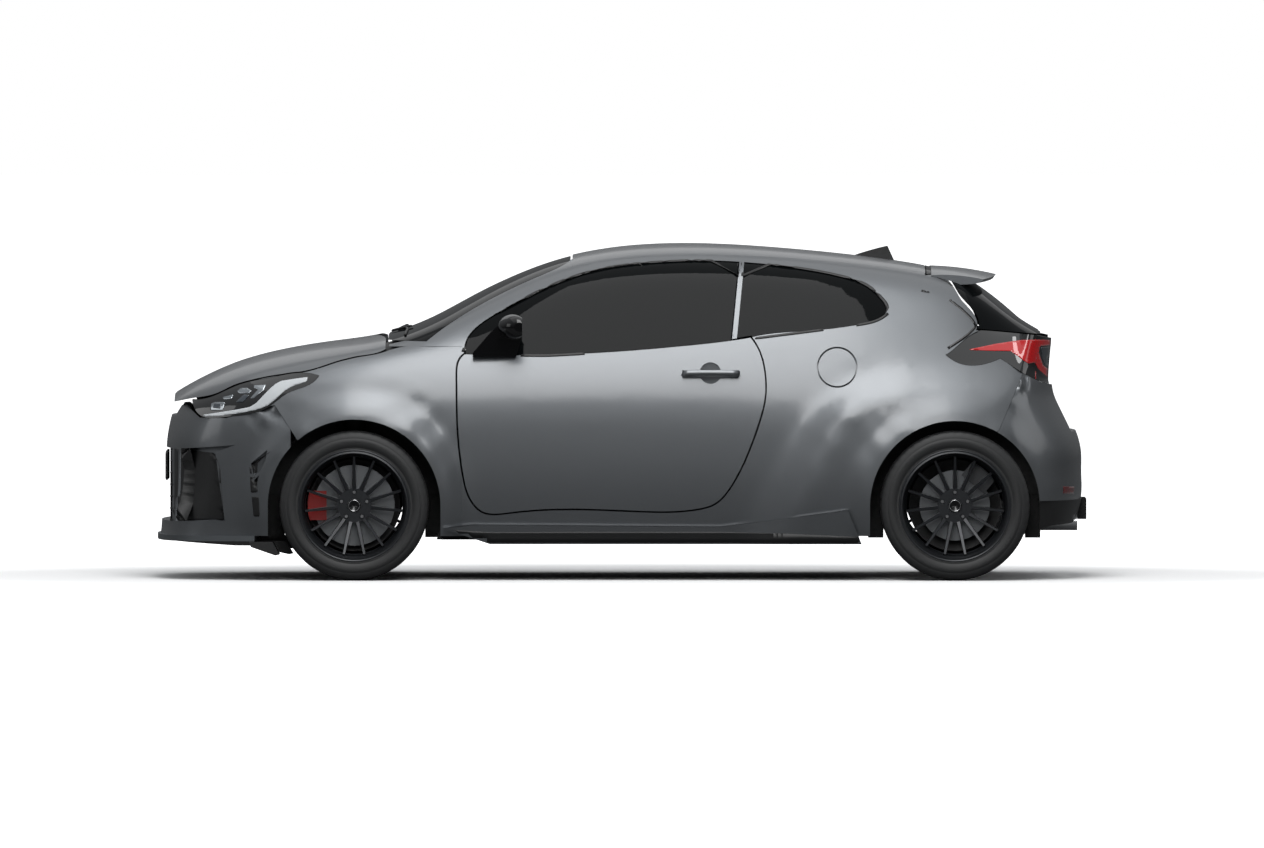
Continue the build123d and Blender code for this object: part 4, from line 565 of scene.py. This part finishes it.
ring = [(x * tyre_width, r) for x, r in tyre_shape]
ring += [(x * tyre_width, 318.3 - 6.0 * (abs(x) / 0.42) ** 6) for x in tread_at]
ring += [(-x * tyre_width, r) for x, r in reversed(tyre_shape)]
first_tread, last_tread = len(tyre_shape), len(tyre_shape) + len(tread_at) - 1
TURNS = 288


def tread_depth(i, k):
    """Depth in mm of the tread's grooves at one point of the tyre."""
    if k < first_tread or k > last_tread:
        edge = k in (12, 13, 14) or k in (len(ring) - 13, len(ring) - 14, len(ring) - 15)
        return 1.2 if edge and i % 6 < 2 else 0.0
    x = tread_at[k - first_tread]
    if any(a - 1e-6 <= x <= b + 1e-6 for a, b in grooves):
        return 6.5
    shoulder = abs(x) > 0.285
    skew = i + (2 if abs(x) > 0.2 else 0)
    if shoulder and skew % 6 == 0:
        return 5.0
    if 0.105 < abs(x) < 0.24 and skew % 6 == 3:
        return 4.0
    return 0.0


wheel_spots = [("front", "left"), ("front", "right"), ("rear", "left"), ("rear", "right")]
for end, side in wheel_spots:
    low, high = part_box(f"tyre_{end}_{side}")
    centre = [(a + b) / 2 / MM for a, b in zip(low, high)]
    tyre = lathe(f"tread_{end}_{side}", centre, ring, rubber, f"wheel_{end}_{side}_set", turns=TURNS,
                 depth=tread_depth)
    tyre.data.polygons.foreach_set("use_smooth", [False] * len(tyre.data.polygons))
    for polygon in tyre.data.polygons:
        k = min(v % len(ring) for v in polygon.vertices)
        polygon.use_smooth = k < first_tread - 1 or k > last_tread
    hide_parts(f"tyre_{end}_{side}")
print("tyres made")

# %% Wheel nuts and caps
NUT_CIRCLE, NUTS = 57.0, 5
for end, side in wheel_spots:
    sign = 1 if side == "left" else -1
    low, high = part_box(f"wheel_{end}_{side}")
    centre = [(a + b) / 2 / MM for a, b in zip(low, high)]
    body = f"wheel_{end}_{side}_set"
    target = (f"wheel_{end}_{side}",)
    for k in range(NUTS):
        angle = 2 * math.pi * k / NUTS
        y, z = centre[1] + NUT_CIRCLE * math.sin(angle), centre[2] + NUT_CIRCLE * math.cos(angle)
        seat = land(target, y, z, "x", sign)[0].x / MM
        nut = [(0.0, 0.5), (0.0, 8.5), (13.0, 8.5), (15.0, 7.0), (15.0, 0.5)]
        lathe(f"nut_{end}_{side}_{k}", (seat, y, z), [(sign * (x - 0.5), r) for x, r in nut], steel_bright, body,
              turns=6, smooth=False)
    rim = [(-12.0, 214.0), (-1.0, 229.0), (1.0, 238.5), (3.0, 240.5), (5.0, 239.0), (4.0, 233.0), (-4.0, 222.0),
           (-14.0, 210.0)]
    edge = (high[0] if sign > 0 else low[0]) / MM
    lathe(f"rim_lip_{end}_{side}", (edge, centre[1], centre[2]), [(sign * (x - 4.0), r) for x, r in rim],
          wheel_paint, body, turns=160)
    disc_low, disc_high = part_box(f"brake_disc_{end}_{side}")
    back = (disc_low[0] if sign > 0 else disc_high[0]) / MM
    shield = [(-3.0, 60.0), (-3.0, 192.0), (3.0, 196.0), (4.2, 195.0), (-1.0, 190.0), (-1.0, 60.0)]
    holder = f"upright_{side}" if end == "front" else "car_body"
    lathe(f"brake_shield_{end}_{side}", (back - sign * 2.0, centre[1], centre[2]),
          [(sign * x, r) for x, r in shield], chassis_coat, holder, turns=96)
    hub = land(target, centre[1], centre[2] + 36.0, "x", sign)[0].x / MM
    cap = [(-8.0, 0.4), (-8.0, 28.5), (2.0, 28.5), (4.5, 26.0), (5.0, 22.0), (3.6, 20.5), (4.4, 0.4)]
    lathe(f"cap_{end}_{side}", (hub, centre[1], centre[2]), [(sign * x, r) for x, r in cap], black_gloss, body,
          turns=64)
    bezel = [(4.4, 24.6), (5.6, 24.0), (5.6, 22.6), (4.4, 22.0)]
    lathe(f"cap_ring_{end}_{side}", (hub, centre[1], centre[2]), [(sign * x, r) for x, r in bezel],
          steel_bright, body, turns=64)
print("nuts and caps made")


# %% [markdown]
# ## Cabin and glass fittings
# Padded seats stand for their plain solids; wipers lie on the glass.

# %% Seats
def pad(centre, size, crown, lean=0.0, waist=0.0, cells=14):
    """Points and faces of a crowned closed cushion in mm, leaned about X."""
    points, faces, index = [], [], {}
    half = np.array(size, float) / 2
    for axis in range(3):
        for end in (-1, 1):
            for i in range(cells + 1):
                for j in range(cells + 1):
                    u = [0.0, 0.0, 0.0]
                    u[axis] = end
                    u[(axis + 1) % 3], u[(axis + 2) % 3] = 2 * i / cells - 1, 2 * j / cells - 1
                    key = tuple(round(c * cells) for c in u)
                    if key not in index:
                        u = np.array(u)
                        ball = u / np.linalg.norm(u, ord=5)
                        p = ball * half
                        p[2] += crown * (1 - u[0] ** 2) * (1 - u[1] ** 2) * ball[2]
                        p[0] *= 1 - waist * (1 - abs(u[1])) * abs(u[0])
                        c, s = math.cos(lean), math.sin(lean)
                        p = np.array([p[0], p[1] * c - p[2] * s, p[1] * s + p[2] * c]) + np.array(centre)
                        index[key] = len(points)
                        points.append(p * MM)
            for i in range(cells):
                for j in range(cells):
                    corner_ids = []
                    for a, b in ((i, j), (i + 1, j), (i + 1, j + 1), (i, j + 1)):
                        u = [0.0, 0.0, 0.0]
                        u[axis] = end
                        u[(axis + 1) % 3], u[(axis + 2) % 3] = 2 * a / cells - 1, 2 * b / cells - 1
                        corner_ids.append(index[tuple(round(c * cells) for c in u)])
                    faces.append(corner_ids if end > 0 else corner_ids[::-1])
    return points, faces


def padded_piece(name, pads, replaced):
    """One padded mesh from several cushions, which stands for a CAD node."""
    points, faces = [], []
    for one in pads:
        p, f = pad(**one)
        faces += [[len(points) + i for i in face] for face in f]
        points += p
    piece = add_mesh(name, points, faces, cloth, "car_body")
    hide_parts(replaced)
    return piece


back_lean = math.radians(-107)
front_pads = []
for s in (1, -1):
    x = s * 365.0
    front_pads += [
        dict(centre=(x, -15.0, 405.0), size=(300, 500, 95), crown=14.0, lean=math.radians(-5)),
        dict(centre=(x, 300.0, 700.0), size=(300, 560, 85), crown=12.0, lean=back_lean),
        dict(centre=(x, 470.0, 1110.0), size=(230, 160, 66), crown=8.0, lean=back_lean),
        dict(centre=(x, 60.0, 360.0), size=(440, 380, 70), crown=4.0),
    ]
    for t in (1, -1):
        front_pads += [
            dict(centre=(x + t * 190.0, -5.0, 425.0), size=(90, 500, 115), crown=6.0, lean=math.radians(-5)),
            dict(centre=(x + t * 190.0, 280.0, 690.0), size=(92, 540, 120), crown=6.0, lean=back_lean),
        ]
padded_piece("front_seat_cushions", front_pads, "front_seats")
rear_pads = []
for s in (1, -1):
    rear_pads += [
        dict(centre=(s * 262.0, 660.0, 415.0), size=(500, 460, 120), crown=12.0, lean=math.radians(-4)),
        dict(centre=(s * 262.0, 985.0, 690.0), size=(500, 540, 90), crown=10.0, lean=math.radians(-106)),
    ]
padded_piece("rear_seat_cushions", rear_pads, "rear_seat")
print("seats padded")

# %% Wipers
for k, (x0, x1, y1) in enumerate(((-560.0, 60.0, -905.0), (80.0, 600.0, -885.0))):
    blade = [(x0, -960.0), ((x0 + x1) / 2, y1 - 30.0), (x1, -930.0)]
    strip(f"wiper_blade_{k}", blade, 10.0, 9.0, ("windscreen", "cowl"), "car_body", seal_rubber, axis="z",
          lift=1.0)
    strip(f"wiper_arm_{k}", [(x0 + 30, -985.0), ((x0 + x1) / 2, y1 - 20.0)], 14.0, 10.0, ("windscreen", "cowl"),
          "car_body", black_trim, axis="z", lift=4.0)
print("wipers laid")


# %% [markdown]
# ## Studio
# A pale floor that runs to a pale background but is dark grey in reflections and bounce light as painted shade on
# the lower body, long soft boxes overhead and at the sides, and a long lens square to the car's left side.

# %% Floor and background
floor_mat, tree, shader = principled("pale studio floor dark grey to reflections as painted shade", "#F4F4F4", Roughness=0.9)
HALF_ACROSS, HALF_ALONG = 2.4, 3.4  # metres from the middle to where the floor starts to pale
where = add_node(tree, "ShaderNodeTexCoord")
spot = add_node(tree, "ShaderNodeSeparateXYZ", {"Vector": where.outputs["Object"]})
across = add_node(tree, "ShaderNodeMath", {0: spot.outputs["X"], 1: HALF_ACROSS}, operation="DIVIDE")
along = add_node(tree, "ShaderNodeMath", {0: spot.outputs["Y"], 1: HALF_ALONG}, operation="DIVIDE")
flat = add_node(tree, "ShaderNodeCombineXYZ", {"X": across.outputs[0], "Y": along.outputs[0]})
reach = add_node(tree, "ShaderNodeVectorMath", {0: flat.outputs[0]}, operation="LENGTH")
glow = add_node(tree, "ShaderNodeMapRange", {"Value": reach.outputs["Value"], "From Min": 0.75, "From Max": 1.5},
                interpolation_type="SMOOTHSTEP")
seen_by = add_node(tree, "ShaderNodeLightPath")
lit = add_node(tree, "ShaderNodeMath", {0: glow.outputs["Result"], 1: seen_by.outputs["Is Camera Ray"]},
               operation="MULTIPLY")
# Painted shade: the camera sees the floor pale, but reflections and bounce light see it dark grey, which darkens
# the car's lower sides.
shade = add_node(tree, "ShaderNodeMix", {0: seen_by.outputs["Is Camera Ray"], 6: linear("#5C5D5E"),
                                         7: linear("#F4F4F4")}, data_type="RGBA")
tree.links.new(shade.outputs[2], shader.inputs["Base Color"])
shader.inputs["Emission Color"].default_value = linear("#FFFFFF")
tree.links.new(lit.outputs[0], shader.inputs["Emission Strength"])
bpy.ops.mesh.primitive_plane_add(size=400.0, location=(0, 0, -0.0005))
floor = bpy.context.object
floor.name = "studio_floor"
floor.data.materials.append(floor_mat)
floor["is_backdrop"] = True

world = bpy.data.worlds.new("studio")
bpy.context.scene.world = world
world.use_nodes = True
tree = world.node_tree
tree.nodes.clear()
path = add_node(tree, "ShaderNodeLightPath")
seen = add_node(tree, "ShaderNodeBackground", {"Color": linear("#FFFFFF"), "Strength": 1.0})
where = add_node(tree, "ShaderNodeTexCoord")
up = add_node(tree, "ShaderNodeSeparateXYZ", {"Vector": where.outputs["Generated"]})
sky = add_node(tree, "ShaderNodeMapRange", {"Value": up.outputs["Z"], "From Min": -0.1, "From Max": 0.9,
                                            "To Min": 0.05, "To Max": 0.55})
fill = add_node(tree, "ShaderNodeBackground", {"Color": linear("#EEF1F4"), "Strength": sky.outputs["Result"]})
mix = add_node(tree, "ShaderNodeMixShader",
               {0: path.outputs["Is Camera Ray"], 1: fill.outputs[0], 2: seen.outputs[0]})
add_node(tree, "ShaderNodeOutputWorld", {"Surface": mix.outputs[0]})


# %% Soft boxes
def soft_box(name, place, aim, size, power):
    """A rectangular area light that faces a point."""
    data = bpy.data.lights.new(name, "AREA")
    data.shape = "RECTANGLE"
    data.size, data.size_y = size
    data.energy = power
    light = bpy.data.objects.new(name, data)
    light.location = place
    light.rotation_euler = (Vector(aim) - Vector(place)).to_track_quat("-Z", "Y").to_euler()
    bpy.context.scene.collection.objects.link(light)
    return light


soft_box("overhead", (1.0, 0, 6.5), (0, 0, 0.6), (9.0, 12.0), 150)
soft_box("key side", (6.5, 0.0, 7.6), (0, 0, 0.7), (4.0, 14.0), 900)
soft_box("far side", (-6.0, 0.0, 4.5), (0, 0, 0.7), (9.0, 3.0), 40)
soft_box("nose side", (2.0, -8.0, 3.0), (0, -1.5, 0.6), (6.0, 3.0), 60)
soft_box("tail side", (2.0, 8.0, 3.0), (0, 1.5, 0.6), (6.0, 3.0), 60)

# %% Camera
camera_data = bpy.data.cameras.new("side camera")
camera = bpy.data.objects.new("side camera", camera_data)
bpy.context.scene.collection.objects.link(camera)
bpy.context.scene.camera = camera
distance, elevation = 120.0, math.radians(1.0)
target = Vector((0.0, 0.038, 0.652))
camera_data.sensor_width = 36.0
camera_data.lens = 36.0 * (distance - 0.85) / (1264 * 0.00426)
camera_data.clip_end = 1000
camera.location = target + distance * Vector((math.cos(elevation), 0, math.sin(elevation)))
camera.rotation_euler = (target - camera.location).to_track_quat("-Z", "Y").to_euler()
bpy.context.scene.view_settings.view_transform = "Standard"

# %% Bounds of the shown objects
low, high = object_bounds()
